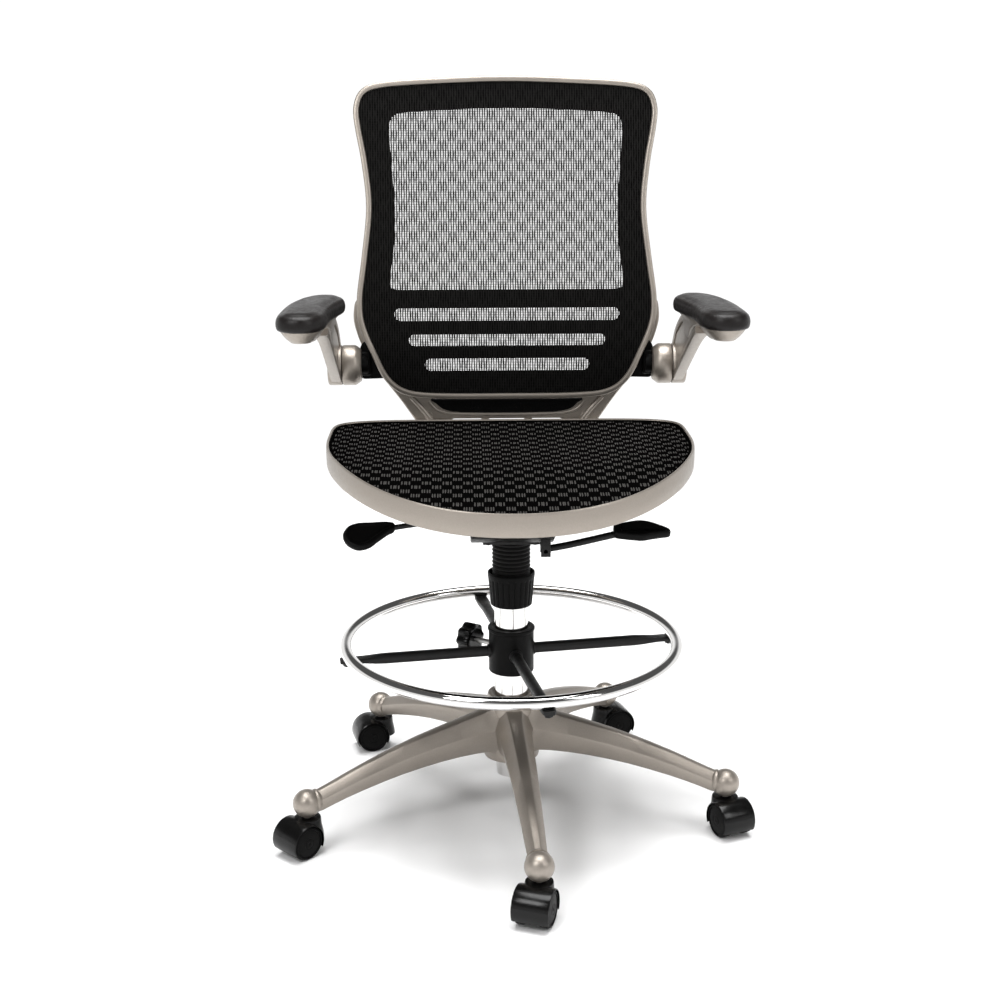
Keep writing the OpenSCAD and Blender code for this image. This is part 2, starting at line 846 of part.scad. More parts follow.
window_outline = smooth_ring(mirrored([[0, 781], [140, 781], [172, 782], [window_half_w + 6, 786],
    [window_half_w + 7, 792], [window_half_w + 5, 812], [window_half_w, 850], [window_half_w - 2, 900],
    [window_half_w + 2, 960], [window_half_w + 6, 1015], [window_half_w + 5, 1032], [172, 1043],
    [155, 1047], [110, 1050], [0, 1054]]), 3);

// [half width, lower edge, upper edge] of each lumbar slot
slots = [[175, 734, 756], [153, 695, 716], [129, 656, 678]];

module back_slab(front, rear) {
    polygon(concat([for (z = back_z) [lean(z) + rear, z]],
                   [for (i = [len(back_z) - 1 : -1 : 0]) [lean(back_z[i]) + front, back_z[i]]]));
}

module slot_outline(s) {
    r = (s[2] - s[1]) / 2;
    two_circles([r - s[0], s[1] + r], r, [s[0] - r, s[1] + r], r);
}

module back_frame() {
    color(silver) intersection() {
        along_y(back_cut_y0, back_cut_y1) difference() {
            polygon(back_outline);
            polygon(inset(back_outline, rim_w));
        }
        along_x(-back_cut_x, back_cut_x) back_slab(-rim_front, rim_back);
    }
}

module back_panel() {
    color(black) intersection() {
        along_y(back_cut_y0, back_cut_y1) difference() {
            polygon(inset(back_outline, rim_w));
            polygon(window_outline);
            for (s = slots) slot_outline(s);
        }
        along_x(-back_cut_x, back_cut_x) back_slab(sheet_t, panel_t);
    }
}

module back_mesh() {
    color([0.2, 0.2, 0.2]) intersection() {
        along_y(back_cut_y0, back_cut_y1) polygon(inset(back_outline, rim_w));
        along_x(-back_cut_x, back_cut_x) back_slab(0, sheet_t);
    }
}

// Where the arm brackets meet the V-shaped support, and the screw bosses that carry the back
yoke_low = [196, 650];
yoke_high = [226, 700];
boss_points = [[200, 735], [165, 655]];
boss_r = 8;
back_screw_r = 2.5;
back_screw_head_r = 5;
back_screw_head_t = 3;
yoke_half = [[58, 501], [112, 530], [139, 572], [164, 609], yoke_low, yoke_high, [236, 735], [232, 765],
             [212, 768], [206, 735], [188, 695], [158, 655], [128, 632]];
yoke_slot = [78, 568];
yoke_slot_r = 9;
tongue_half_w = 45;
tongue_y0 = 96;
tongue_z0 = 501;
insert_at = [92, 599];
insert_r = 10;
insert_depth = 4;
insert_sunk = 0.5;

// Outline with round ends at (-p[0], p[1]) and (p[0], p[1])
module stadium(p, r) {
    two_circles([-p[0], p[1]], r, p, r);
}

module back_support() {
    color(silver) difference() {
        union() {
            along_y(yoke_y0, yoke_y1) polygon(concat(yoke_half,
                [for (i = [len(yoke_half) - 1 : -1 : 0]) [-yoke_half[i][0], yoke_half[i][1]]]));
            translate([-tongue_half_w, tongue_y0, tongue_z0])
                cube([2 * tongue_half_w, yoke_y1 - tongue_y0, seat_plate_z0 - tongue_z0]);
            for (s = [-1, 1], b = boss_points)
                rod_y(lean(b[1]) + panel_t, yoke_y0 + over, s * b[0], b[1], boss_r);
        }
        along_y(yoke_y0 - over, yoke_y0 + insert_depth) stadium(insert_at, insert_r);
        along_y(yoke_y0 - over, yoke_y1 + over) stadium(yoke_slot, yoke_slot_r);
        for (s = [-1, 1], b = boss_points) rod_y(back_cut_y0, yoke_y1 + over, s * b[0], b[1], back_screw_r);
    }
}

module support_insert() {
    color(black) along_y(yoke_y0 + insert_sunk, yoke_y0 + insert_depth) stadium(insert_at, insert_r);
}

module back_screws() {
    color(steel) for (s = [-1, 1], b = boss_points) {
        rod_y(lean(b[1]) + panel_t + over, yoke_y1 + over, s * b[0], b[1], back_screw_r);
        rod_y(yoke_y1, yoke_y1 + back_screw_head_t, s * b[0], b[1], back_screw_head_r);
    }
}

// ---- arms ----

module both_sides() {
    children();
    mirror([1, 0, 0]) children();
}

module arm_brackets() {
    color(black) both_sides() along_y(yoke_y0 - bracket_lap, yoke_y1)
        polygon([yoke_low, [hub_x0 - hub_cone, bracket_z0], [hub_x0 - hub_cone, bracket_z1], yoke_high]);
}

module arm_hubs() {
    color(silver) both_sides() {
        rod_x(hub_x0, hub_x1, hinge_y, hinge_z, hinge_r);
        translate([hub_x0 - hub_cone, hinge_y, hinge_z]) rotate([0, 90, 0])
            cylinder(h = hub_cone, r1 = hinge_r - hub_cone_drop, r2 = hinge_r);
        rod_x(hub_x1 - over, arm_x1 - arm_wall, hinge_y, hinge_z, arm_pin_r);
    }
}

arm_x0 = hub_x1 + part_gap;
carrier_z0 = pad_top_z - pad_h - cup_h;
// [y, z] corners of the arm's side and of the recess in it
arm_side = [[hinge_y - 12, hinge_z - 28], [hinge_y + 30, hinge_z + 8], [80, carrier_z0 + 8],
            [-52, carrier_z0 + 8], [-62, carrier_z0]];
arm_recess = [[142, hinge_z + 26], [100, carrier_z0 - 14], [20, carrier_z0 - 14]];

module arm() {
    difference() {
        union() {
            rod_x(arm_x0, arm_x1, hinge_y, hinge_z, hinge_r);
            along_x(arm_x0, arm_x1) polygon(arm_side);
            translate([0, 0, carrier_z0]) linear_extrude(cup_h)
                two_circles(pad_nose, pad_nose_r - nose_inset, pad_heel, pad_heel_r - heel_inset);
        }
        rod_x(arm_x0 - over, arm_x1 - arm_wall + part_gap, hinge_y, hinge_z, arm_pin_r + run_gap);
        along_x(arm_x1 - arm_wall, arm_x1 + over) polygon(arm_recess);
    }
}

module arm_pad() {
    translate([0, 0, pad_top_z - pad_h]) linear_extrude(pad_h) hull() {
        translate(pad_nose) circle(r = pad_nose_r);
        translate(pad_heel) circle(r = pad_heel_r);
    }
}

module right_arm() { color(silver) arm(); }
module left_arm() { color(silver) mirror([1, 0, 0]) arm(); }
module right_arm_pad() { color(black) arm_pad(); }
module left_arm_pad() { color(black) mirror([1, 0, 0]) arm_pad(); }

// ---- casters ----

module at_caster(k) {
    a = base_yaw + leg_pitch * k;
    translate([stem_circle_r * sin(a), -stem_circle_r * cos(a), 0])
        rotate([0, 0, caster_swivel[k]]) children();
}

module caster_hood(k) {
    color(black) at_caster(k) difference() {
        union() {
            rod_x(-hood_half_w, hood_half_w, -caster_trail, wheel_r, hood_r);
            translate([0, 0, hood_post_z0]) cylinder(h = hood_top_z - hood_post_z0, r = hood_post_r);
        }
        rod_x(hood_web_half, hood_cut, -caster_trail, wheel_r, wheel_r + hood_room);
        rod_x(-hood_cut, -hood_web_half, -caster_trail, wheel_r, wheel_r + hood_room);
        translate([-hood_cut, -hood_cut, hood_bottom_z - hood_cut])
            cube([2 * hood_cut, 2 * hood_cut, hood_cut]);
        rod_x(-hood_cut, hood_cut, -caster_trail, wheel_r, axle_r);
        translate([0, 0, stem_z0]) cylinder(h = hood_cut, r = stem_r);
    }
}

module caster_pins(k) {
    color(steel) at_caster(k) {
        translate([0, 0, stem_z0]) cylinder(h = stem_z1 + datum_z - stem_z0, r = stem_r);
        rod_x(-axle_half, axle_half, -caster_trail, wheel_r, axle_r);
    }
}

module caster_wheels(k) {
    color(black) at_caster(k) for (s = [-1, 1]) difference() {
        rod_x(s * (wheel_x0 + wheel_w / 2) - wheel_w / 2, s * (wheel_x0 + wheel_w / 2) + wheel_w / 2,
              -caster_trail, wheel_r, wheel_r);
        rod_x(s * wheel_bore_at - wheel_bore_half, s * wheel_bore_at + wheel_bore_half,
              -caster_trail, wheel_r, axle_r + run_gap);
    }
}

placed() star_base();
placed() column_tube();
placed() column_bush();
placed() thrust_bearing();
placed() dust_cup();
placed() foot_ring();
placed() ring_sleeve();
placed() ring_spokes();
placed() ring_bolts();
placed() clamp_knob();
placed() clamp_screw();
placed() piston_rod();
placed() piston();
placed() rod_clip();
placed() dust_bellows();
placed() lift_cylinder();
placed() tilt_housing();
placed() socket_plate();
placed() tilt_axle();
placed() torsion_bushes();
placed() lever_pins();
placed() release_pin();
placed() height_lever();
placed() height_paddle();
placed() tilt_lever();
placed() tilt_grip();
placed() seat_plate();
placed() seat_rails();
placed() seat_frame();
placed() seat_mesh();
placed() seat_bolts();
placed() back_support();
placed() support_insert();
placed() back_frame();
placed() back_panel();
placed() back_mesh();
placed() back_screws();
placed() arm_brackets();
placed() arm_hubs();
placed() left_arm();
placed() right_arm();
placed() left_arm_pad();
placed() right_arm_pad();
caster_hood(0);  // caster_hood_1
caster_hood(1);  // caster_hood_2
caster_hood(2);  // caster_hood_3
caster_hood(3);  // caster_hood_4
caster_hood(4);  // caster_hood_5
caster_pins(0);  // caster_pins_1
caster_pins(1);  // caster_pins_2
caster_pins(2);  // caster_pins_3
caster_pins(3);  // caster_pins_4
caster_pins(4);  // caster_pins_5
caster_wheels(0);  // caster_wheels_1
caster_wheels(1);  // caster_wheels_2
caster_wheels(2);  // caster_wheels_3
caster_wheels(3);  // caster_wheels_4
caster_wheels(4);  // caster_wheels_5
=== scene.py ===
import math
import random

import bmesh
import bpy
from mathutils import Matrix, Vector


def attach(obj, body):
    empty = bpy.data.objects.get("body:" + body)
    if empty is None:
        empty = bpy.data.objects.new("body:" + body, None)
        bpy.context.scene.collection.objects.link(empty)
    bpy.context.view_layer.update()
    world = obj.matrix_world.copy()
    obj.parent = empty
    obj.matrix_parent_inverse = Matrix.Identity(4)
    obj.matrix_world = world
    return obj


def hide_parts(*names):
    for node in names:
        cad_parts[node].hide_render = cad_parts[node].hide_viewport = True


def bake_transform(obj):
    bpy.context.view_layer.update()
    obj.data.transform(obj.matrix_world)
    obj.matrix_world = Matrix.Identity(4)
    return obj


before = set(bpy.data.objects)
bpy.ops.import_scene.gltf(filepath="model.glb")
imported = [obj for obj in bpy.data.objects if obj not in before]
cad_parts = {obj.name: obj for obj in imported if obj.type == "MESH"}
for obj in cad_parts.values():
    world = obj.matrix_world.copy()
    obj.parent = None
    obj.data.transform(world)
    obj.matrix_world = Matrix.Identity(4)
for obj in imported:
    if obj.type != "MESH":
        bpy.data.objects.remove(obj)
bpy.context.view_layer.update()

MM = 0.001


# ---------- materials ----------

class Nodes:
    """Short calls for building one material's node tree."""

    def __init__(self, name):
        self.material = bpy.data.materials.new(name)
        self.material.use_nodes = True
        self.tree = self.material.node_tree
        self.shader = self.tree.nodes["Principled BSDF"]
        self.where = self.add("ShaderNodeTexCoord").outputs["Object"]

    def add(self, kind, **values):
        node = self.tree.nodes.new(kind)
        for key, value in values.items():
            setattr(node, key, value)
        return node

    def link(self, source, target):
        self.tree.links.new(source, target)

    def noise(self, scale, detail=3.0, roughness=0.5, stretch=None):
        """Noise whose features are about 1 / scale metres across."""
        node = self.add("ShaderNodeTexNoise")
        node.inputs["Scale"].default_value = scale
        node.inputs["Detail"].default_value = detail
        node.inputs["Roughness"].default_value = roughness
        self.link(self.stretched(stretch), node.inputs["Vector"])
        return node.outputs["Fac"]

    def cells(self, scale, feature="F1"):
        node = self.add("ShaderNodeTexVoronoi", feature=feature)
        node.inputs["Scale"].default_value = scale
        self.link(self.where, node.inputs["Vector"])
        return node.outputs["Distance"]

    def stretched(self, stretch):
        if stretch is None:
            return self.where
        mapping = self.add("ShaderNodeMapping")
        mapping.inputs["Scale"].default_value = stretch
        self.link(self.where, mapping.inputs["Vector"])
        return mapping.outputs["Vector"]

    def ramp(self, value, low, high, out_low, out_high):
        """Maps value from low..high to out_low..out_high."""
        node = self.add("ShaderNodeMapRange")
        node.inputs["From Min"].default_value = low
        node.inputs["From Max"].default_value = high
        node.inputs["To Min"].default_value = out_low
        node.inputs["To Max"].default_value = out_high
        self.link(value, node.inputs["Value"])
        return node.outputs["Result"]

    def mix(self, factor, dark, light):
        node = self.add("ShaderNodeMix", data_type="RGBA")
        node.inputs["A"].default_value = (*dark, 1)
        node.inputs["B"].default_value = (*light, 1)
        self.link(factor, node.inputs["Factor"])
        return node.outputs["Result"]

    def colour(self, output):
        self.link(output, self.shader.inputs["Base Color"])

    def rough(self, output):
        self.link(output, self.shader.inputs["Roughness"])

    def bump(self, *layers):
        """layers are (height output, depth in metres), laid one on the other."""
        normal = None
        for height, depth in layers:
            node = self.add("ShaderNodeBump")
            node.inputs["Strength"].default_value = 1.0
            node.inputs["Distance"].default_value = depth
            self.link(height, node.inputs["Height"])
            if normal is not None:
                self.link(normal, node.inputs["Normal"])
            normal = node.outputs["Normal"]
        self.link(normal, self.shader.inputs["Normal"])

    def edges(self, low, high):
        """0 on flat surfaces, 1 on worn convex edges."""
        return self.ramp(self.add("ShaderNodeNewGeometry").outputs["Pointiness"], low, high, 0.0, 1.0)


def painted_silver():
    n = Nodes("silver_paint")
    n.shader.inputs["Metallic"].default_value = 0.72
    n.shader.inputs["Coat Weight"].default_value = 0.05
    n.shader.inputs["Coat Roughness"].default_value = 0.18
    mottle = n.noise(620, 4, 0.7)
    n.colour(n.mix(mottle, (0.255, 0.226, 0.196), (0.340, 0.305, 0.268)))
    n.rough(n.ramp(n.noise(140, 5, 0.65), 0.3, 0.7, 0.34, 0.45))
    flake = n.noise(2600, 2, 0.6)
    n.bump((flake, 0.00005), (n.noise(700, 3, 0.6), 0.00016))
    return n.material


def polished_chrome():
    n = Nodes("chrome")
    n.shader.inputs["Metallic"].default_value = 1.0
    smudge = n.noise(26, 5, 0.65)
    n.colour(n.mix(smudge, (0.68, 0.67, 0.66), (0.80, 0.79, 0.78)))
    n.rough(n.ramp(smudge, 0.35, 0.75, 0.05, 0.16))
    n.bump((n.noise(60, 2, 0.4), 0.00003))
    return n.material


def zinc_steel(name="zinc_steel", tone=0.46):
    n = Nodes(name)
    n.shader.inputs["Metallic"].default_value = 1.0
    grain = n.noise(900, 4, 0.6, (1, 1, 0.08))
    n.colour(n.mix(grain, (tone * 0.86, tone * 0.85, tone * 0.83), (tone, tone * 0.99, tone * 0.96)))
    n.rough(n.ramp(grain, 0.3, 0.7, 0.26, 0.42))
    n.bump((grain, 0.00004))
    return n.material


def moulded_black(name="moulded_nylon", tone=0.0035, rough=(0.34, 0.48), grain_scale=1500, depth=0.00012,
                  specular=0.06):
    n = Nodes(name)
    n.shader.inputs["Specular IOR Level"].default_value = specular
    haze = n.noise(45, 4, 0.6)
    n.colour(n.mix(haze, (tone * 0.75, tone * 0.74, tone * 0.74), (tone * 1.3, tone * 1.28, tone * 1.26)))
    n.rough(n.ramp(n.noise(160, 4, 0.6), 0.3, 0.7, *rough))
    n.bump((n.noise(grain_scale, 3, 0.6), depth), (n.noise(120, 2, 0.5), 0.00006))
    return n.material


def powder_coat():
    n = Nodes("powder_coat")
    n.shader.inputs["Specular IOR Level"].default_value = 0.2
    n.colour(n.mix(n.noise(60, 3, 0.5), (0.005, 0.005, 0.005), (0.010, 0.0097, 0.0095)))
    n.rough(n.ramp(n.noise(200, 3, 0.5), 0.3, 0.7, 0.34, 0.48))
    n.bump((n.noise(900, 3, 0.7), 0.00022))
    return n.material


def pad_skin():
    n = Nodes("pad_skin")
    n.shader.inputs["Specular IOR Level"].default_value = 0.2
    wrinkle = n.cells(520)
    n.colour(n.mix(n.noise(70, 4, 0.6), (0.0045, 0.0036, 0.0034), (0.0100, 0.0082, 0.0078)))
    n.rough(n.ramp(n.noise(120, 4, 0.6), 0.3, 0.7, 0.30, 0.44))
    n.bump((wrinkle, 0.00016), (n.noise(1400, 3, 0.6), 0.00006), (n.noise(45, 2, 0.5), 0.0002))
    return n.material


def thread_yarn(name, dark, light, rough=(0.42, 0.62), specular=0.04):
    n = Nodes(name)
    n.colour(n.mix(n.noise(420, 4, 0.65), dark, light))
    n.rough(n.ramp(n.noise(300, 3, 0.6), 0.3, 0.7, *rough))
    n.shader.inputs["Specular IOR Level"].default_value = specular
    n.bump((n.noise(3200, 2, 0.5, (1, 0.12, 0.12)), 0.00008))
    return n.material


def soft_rubber():
    n = Nodes("soft_rubber")
    n.shader.inputs["Specular IOR Level"].default_value = 0.15
    n.colour(n.mix(n.noise(60, 4, 0.6), (0.006, 0.006, 0.006), (0.014, 0.0135, 0.013)))
    n.rough(n.ramp(n.noise(130, 4, 0.6), 0.3, 0.7, 0.52, 0.68))
    n.bump((n.noise(1200, 3, 0.6), 0.00012))
    return n.material


SILVER = painted_silver()
CHROME = polished_chrome()
ZINC = zinc_steel()
BRIGHT_ZINC = zinc_steel("bright_zinc", 0.62)
NYLON = moulded_black()
GLOSS = moulded_black("moulded_gloss", 0.003, (0.16, 0.26), 1100, 0.00004, 0.22)
COAT = powder_coat()
SKIN = pad_skin()
# The seat floats' yarn is lighter than the ground under them: a painted highlight on the raised threads.
SEAT_YARN_PAINTED_HIGHLIGHT = thread_yarn("seat_yarn_painted_highlight", (0.016, 0.0150, 0.0142), (0.062, 0.059, 0.0555))
SEAT_BASE = thread_yarn("seat_base", (0.0006, 0.0006, 0.0006), (0.0018, 0.0017, 0.0016), (0.6, 0.8), 0.0)
BACK_YARN = thread_yarn("back_yarn", (0.0022, 0.0022, 0.0021), (0.013, 0.0124, 0.0118))
PANEL = moulded_black("panel_nylon", 0.0016, (0.45, 0.60), 900, 0.0002, 0.0)
RUBBER = soft_rubber()


# ---------- mesh helpers ----------

def make(name, points, faces, material, smooth_angle=35):
    """A mesh object from points in millimetres. Edges sharper than smooth_angle stay sharp."""
    mesh = bpy.data.meshes.new(name)
    mesh.from_pydata([(p[0] * MM, p[1] * MM, p[2] * MM) for p in points], [], faces)
    mesh.validate()
    mesh.materials.append(material)
    piece = bpy.data.objects.new(name, mesh)
    bpy.context.scene.collection.objects.link(piece)
    tidy(piece, smooth_angle)
    return piece


def tidy(piece, smooth_angle=35):
    """Welds, points the faces outwards and marks the sharp edges."""
    bm = bmesh.new()
    bm.from_mesh(piece.data)
    bmesh.ops.remove_doubles(bm, verts=bm.verts, dist=1e-6)
    bmesh.ops.recalc_face_normals(bm, faces=bm.faces)
    limit = math.radians(smooth_angle)
    for face in bm.faces:
        face.smooth = True
    for edge in bm.edges:
        edge.smooth = len(edge.link_faces) == 2 and edge.calc_face_angle(0) < limit
    bm.to_mesh(piece.data)
    bm.free()


def apply_all(piece):
    """Bakes the modifiers into the mesh."""
    bpy.context.view_layer.update()
    done = bpy.data.meshes.new_from_object(piece.evaluated_get(bpy.context.evaluated_depsgraph_get()))
    piece.modifiers.clear()
    piece.data = done
    return piece


def bevel(piece, width, segments=2, angle=30, smooth_angle=35):
    """Rounds the edges sharper than angle, over width millimetres."""
    m = piece.modifiers.new("bevel", "BEVEL")
    m.width = width * MM
    m.segments = segments
    m.limit_method = "ANGLE"
    m.angle_limit = math.radians(angle)
    apply_all(piece)
    tidy(piece, smooth_angle)
    return piece


def grid_faces(rings, count, ring_closed, row_closed, first=0):
    """Quads between rings of count points each."""
    faces = []
    for i in range(rings if row_closed else rings - 1):
        a, b = i * count, (i + 1) % rings * count
        for j in range(count if ring_closed else count - 1):
            k = (j + 1) % count
            faces.append((first + a + j, first + a + k, first + b + k, first + b + j))
    return faces


def loft(name, rings, material, closed=False, caps=True, smooth_angle=35):
    """Skins a row of closed rings. closed joins the last ring to the first."""
    count = len(rings[0])
    points = [p for ring in rings for p in ring]
    faces = grid_faces(len(rings), count, True, closed)
    if caps and not closed:
        faces.append(tuple(reversed(range(count))))
        faces.append(tuple(range(len(points) - count, len(points))))
    return make(name, points, faces, material, smooth_angle)


def angles(count, extra=0):
    """Evenly spaced angles round a full turn. extra=1 repeats the first one at the end."""
    return [2 * math.pi * i / count for i in range(count + extra)]


def power(value, e):
    """A sine or cosine bent towards a squarer outline, as on a superellipse of exponent e."""
    return math.copysign(abs(value) ** (2 / e), value)


def revolve(name, profile, material, steps=64, smooth_angle=35):
    """Turns a profile of (radius, height) points about Z. It may close on itself or touch the axis."""
    rings = [[(r * math.cos(a), r * math.sin(a), z) for r, z in profile]
             for a in angles(steps)]
    points = [p for ring in rings for p in ring]
    faces = grid_faces(steps, len(profile), False, True)
    return make(name, points, faces, material, smooth_angle)


def closed(profile):
    """A profile that returns to its first point."""
    return list(profile) + [profile[0]]


def prism(name, outline, low, high, axes, material, smooth_angle=35):
    """Extrudes an outline between low and high. axes says which coordinates the outline and the depth are."""
    def place(u, v, w):
        p = [0, 0, 0]
        p[axes[0]], p[axes[1]], p[axes[2]] = u, v, w
        return p
    rings = [[place(u, v, w) for u, v in outline] for w in (low, high)]
    return loft(name, rings, material, smooth_angle=smooth_angle)


def move(piece, matrix):
    piece.data.transform(matrix)
    return piece


def joined(name, pieces):
    """Puts several meshes into one object, each keeping its material."""
    first = pieces[0]
    materials = []
    bm = bmesh.new()
    for piece in pieces:
        slots = []
        for material in piece.data.materials:
            if material not in materials:
                materials.append(material)
            slots.append(materials.index(material))
        start = len(bm.faces)
        bm.from_mesh(piece.data)
        bm.faces.ensure_lookup_table()
        for face in bm.faces[start:]:
            face.material_index = slots[face.material_index] if slots else 0
    bm.to_mesh(first.data)
    bm.free()
    first.data.materials.clear()
    for material in materials:
        first.data.materials.append(material)
    for piece in pieces[1:]:
        bpy.data.objects.remove(piece)
    first.name = name
    return first


def spline(points, steps, ring=True):
    """Smooth curve through points of any dimension, steps to each stretch."""
    n = len(points)
    out = []
    for i in range(n if ring else n - 1):
        if ring:
            a, b, c, d = (points[(i + k) % n] for k in (-1, 0, 1, 2))
        else:
            a, b, c, d = (points[min(max(i + k, 0), n - 1)] for k in (-1, 0, 1, 2))
        for s in range(steps):
            t = s / steps
            out.append(tuple(0.5 * (2 * q + (r - p) * t + (2 * p - 5 * q + 4 * r - w) * t * t
                             + (3 * q - p - 3 * r + w) * t ** 3) for p, q, r, w in zip(a, b, c, d)))
    if not ring:
        out.append(tuple(points[-1]))
    return out


def lerp(a, b, t):
    return a + (b - a) * t


def finish_piece(piece, body, slot, *nodes):
    """Rides the piece on its body and hides the CAD nodes it stands for. Its slot is not used."""
    if not body.startswith(("caster", "wheels")):
        move(piece, spot(0, 0, DATUM))
    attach(piece, body)
    if nodes:
        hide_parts(*nodes)
    return piece


def spot(x, y, z):
    """A move to a point in millimetres."""
    return Matrix.Translation((x * MM, y * MM, z * MM))


def turn(degrees, axis="Z"):
    return Matrix.Rotation(math.radians(degrees), 4, axis)


# Turns something made round +Z to lie round +X or +Y
TO_X = Matrix(((0, 0, 1, 0), (1, 0, 0, 0), (0, 1, 0, 0), (0, 0, 0, 1)))
TO_Y = Matrix(((1, 0, 0, 0), (0, 0, 1, 0), (0, -1, 0, 0), (0, 0, 0, 1)))
# Stands a plate drawn flat up on its edge, its outline in X and Z
UPRIGHT = Matrix(((1, 0, 0, 0), (0, 0, 1, 0), (0, 1, 0, 0), (0, 0, 0, 1)))
MIRROR_X = Matrix.Scale(-1, 4, (1, 0, 0))


def mirror(piece, name):
    """A copy of the piece on the other side of the chair."""
    copy = piece.copy()
    copy.data = piece.data.copy()
    copy.name = name
    bpy.context.scene.collection.objects.link(copy)
    copy.data.transform(MIRROR_X)
    copy.data.flip_normals()
    return copy


def inset(ring, d):
    """Moves every point of an anticlockwise ring inwards by d."""
    out = []
    for i, p in enumerate(ring):
        a, b = ring[i - 1], ring[(i + 1) % len(ring)]
        vx, vy = b[0] - a[0], b[1] - a[1]
        l = math.hypot(vx, vy) or 1
        out.append((p[0] - d * vy / l, p[1] + d * vx / l))
    return out


def mirrored(half):
    """Completes the right half of a ring with its mirror image."""
    return half + [(-x, z) for x, z in half[-2:0:-1]]


def flat_slab(name, rings, depth, edge, material, segments=3):
    """A plate depth thick in the XY plane, from an outline and its holes, with rounded edges."""
    curve = bpy.data.curves.new(name, "CURVE")
    curve.dimensions = "2D"
    curve.fill_mode = "BOTH"
    curve.extrude = (depth / 2 - edge) * MM
    curve.bevel_depth = edge * MM
    curve.bevel_resolution = segments
    for ring in rings:
        path = curve.splines.new("POLY")
        path.points.add(len(ring) - 1)
        for point, (x, y) in zip(path.points, ring):
            point.co = (x * MM, y * MM, 0, 1)
        path.use_cyclic_u = True
    source = bpy.data.objects.new(name + "_curve", curve)
    bpy.context.scene.collection.objects.link(source)
    bpy.context.view_layer.update()
    mesh = bpy.data.meshes.new_from_object(source.evaluated_get(bpy.context.evaluated_depsgraph_get()))
    bpy.data.objects.remove(source)
    mesh.materials.clear()
    mesh.materials.append(material)
    piece = bpy.data.objects.new(name, mesh)
    bpy.context.scene.collection.objects.link(piece)
    tidy(piece)
    return piece


def slice_across(piece, axis, positions):
    """Cuts the mesh along planes so that it can be bent afterwards."""
    normal = Vector((0, 0, 0))
    normal[axis] = 1
    bm = bmesh.new()
    bm.from_mesh(piece.data)
    for value in positions:
        bmesh.ops.bisect_plane(bm, geom=bm.verts[:] + bm.edges[:] + bm.faces[:], dist=1e-7,
                               plane_co=normal * value * MM, plane_no=normal)
    bm.to_mesh(piece.data)
    bm.free()


def bend(piece, change):
    """Moves every point by change(x, y, z), all in millimetres."""
    for v in piece.data.vertices:
        v.co = Vector(change(*(v.co / MM))) * MM
    piece.data.update()
    return piece


# ---------- measures of the chair, in millimetres ----------

DATUM = -12     # heights above the casters are measured from this far below the floor
BASE_YAW = 4.8
STEM_CIRCLE = 323.6
BALL_Z, BALL_R, BALL_CUT = 86, 20.5, 66
CASTER_SWIVEL = (-20, 22, 105, -75, -45)
CASTER_TRAIL, WHEEL_R = 18, 25
RING_R, RING_TUBE, RING_Z, RING_YAW = 245, 9, 285, 10
KNOB_ANGLE, KNOB_Z = 145, 275
SEAT_HALF, SEAT_MID, SEAT_FRONT, SEAT_REAR = 271, 80, 334, 125
SEAT_TOP, SEAT_DROP = 580, 29
TILT_Y = -55
HINGE_Y, HINGE_Z = 205, 667
CUP_FLUTES, CUP_GROOVE = 12, 1.7
SPOKE_Z = 272
# Tilt housing: its flat top falls away behind HOUSE_SLOPE_Y at HOUSE_SLOPE degrees
HOUSE_TOP, HOUSE_SLOPE_Y, HOUSE_SLOPE, HOUSE_HALF = 500, -30, 17, 60
HEIGHT_PIVOT, TILT_PIVOT = (-45, 0, 478), (47, -60, 445)
LEVER_TIP = 32      # degrees that both grips are tipped towards the front
# Seat: exponents of the outline's front and rear, the bend of its front edge, and the depth of its band
SEAT_FRONT_E, SEAT_REAR_E = 2.2, 6
SEAT_BEND_Y, SEAT_BEND_RUN, SEAT_BEND_E = -60, 190, 1.6
BAND_FRONT, BAND_REAR, BAND_Y, BAND_RUN = 33, 22, -100, 290
WEAVE_INSET, WEAVE_DEPTH, WEAVE_T, FLOAT_INSET = 6, 4.2, 1.2, 8.6
SAG, SAG_HALF, SAG_Y, SAG_RUN, SAG_E = 5.0, 262, -24, 225, 2.4
RIB_PITCH, RIB_HEIGHT = 1.1, 0.28
CHECK_W, CHECK_L, FLOAT_GAP = 14.0, 14.2, 0.9
# Back: its front face is at WAIST_Y at the waist and leans back above and below it
WAIST_Y, WAIST_Z, BACK_RISE, BACK_DROP, LEAN_ABOVE, LEAN_BELOW = 196, 700, 401, 102, 84, 12
PANEL_Y = 5
# Back knit: upright threads that wave, and finer cross threads
KNIT_HALF, KNIT_Y, KNIT_CHECK = 232, 0.9, 15
THREAD_PITCH, THREAD_WAVE, WAVE_LENGTH = 3.75, 0.3, 20.0
WEFT_PITCH, WEFT_WAVE, WEFT_FROM, WEFT_TO = 2.5, 0.35, 615.0, 1100


# ---------- base ----------

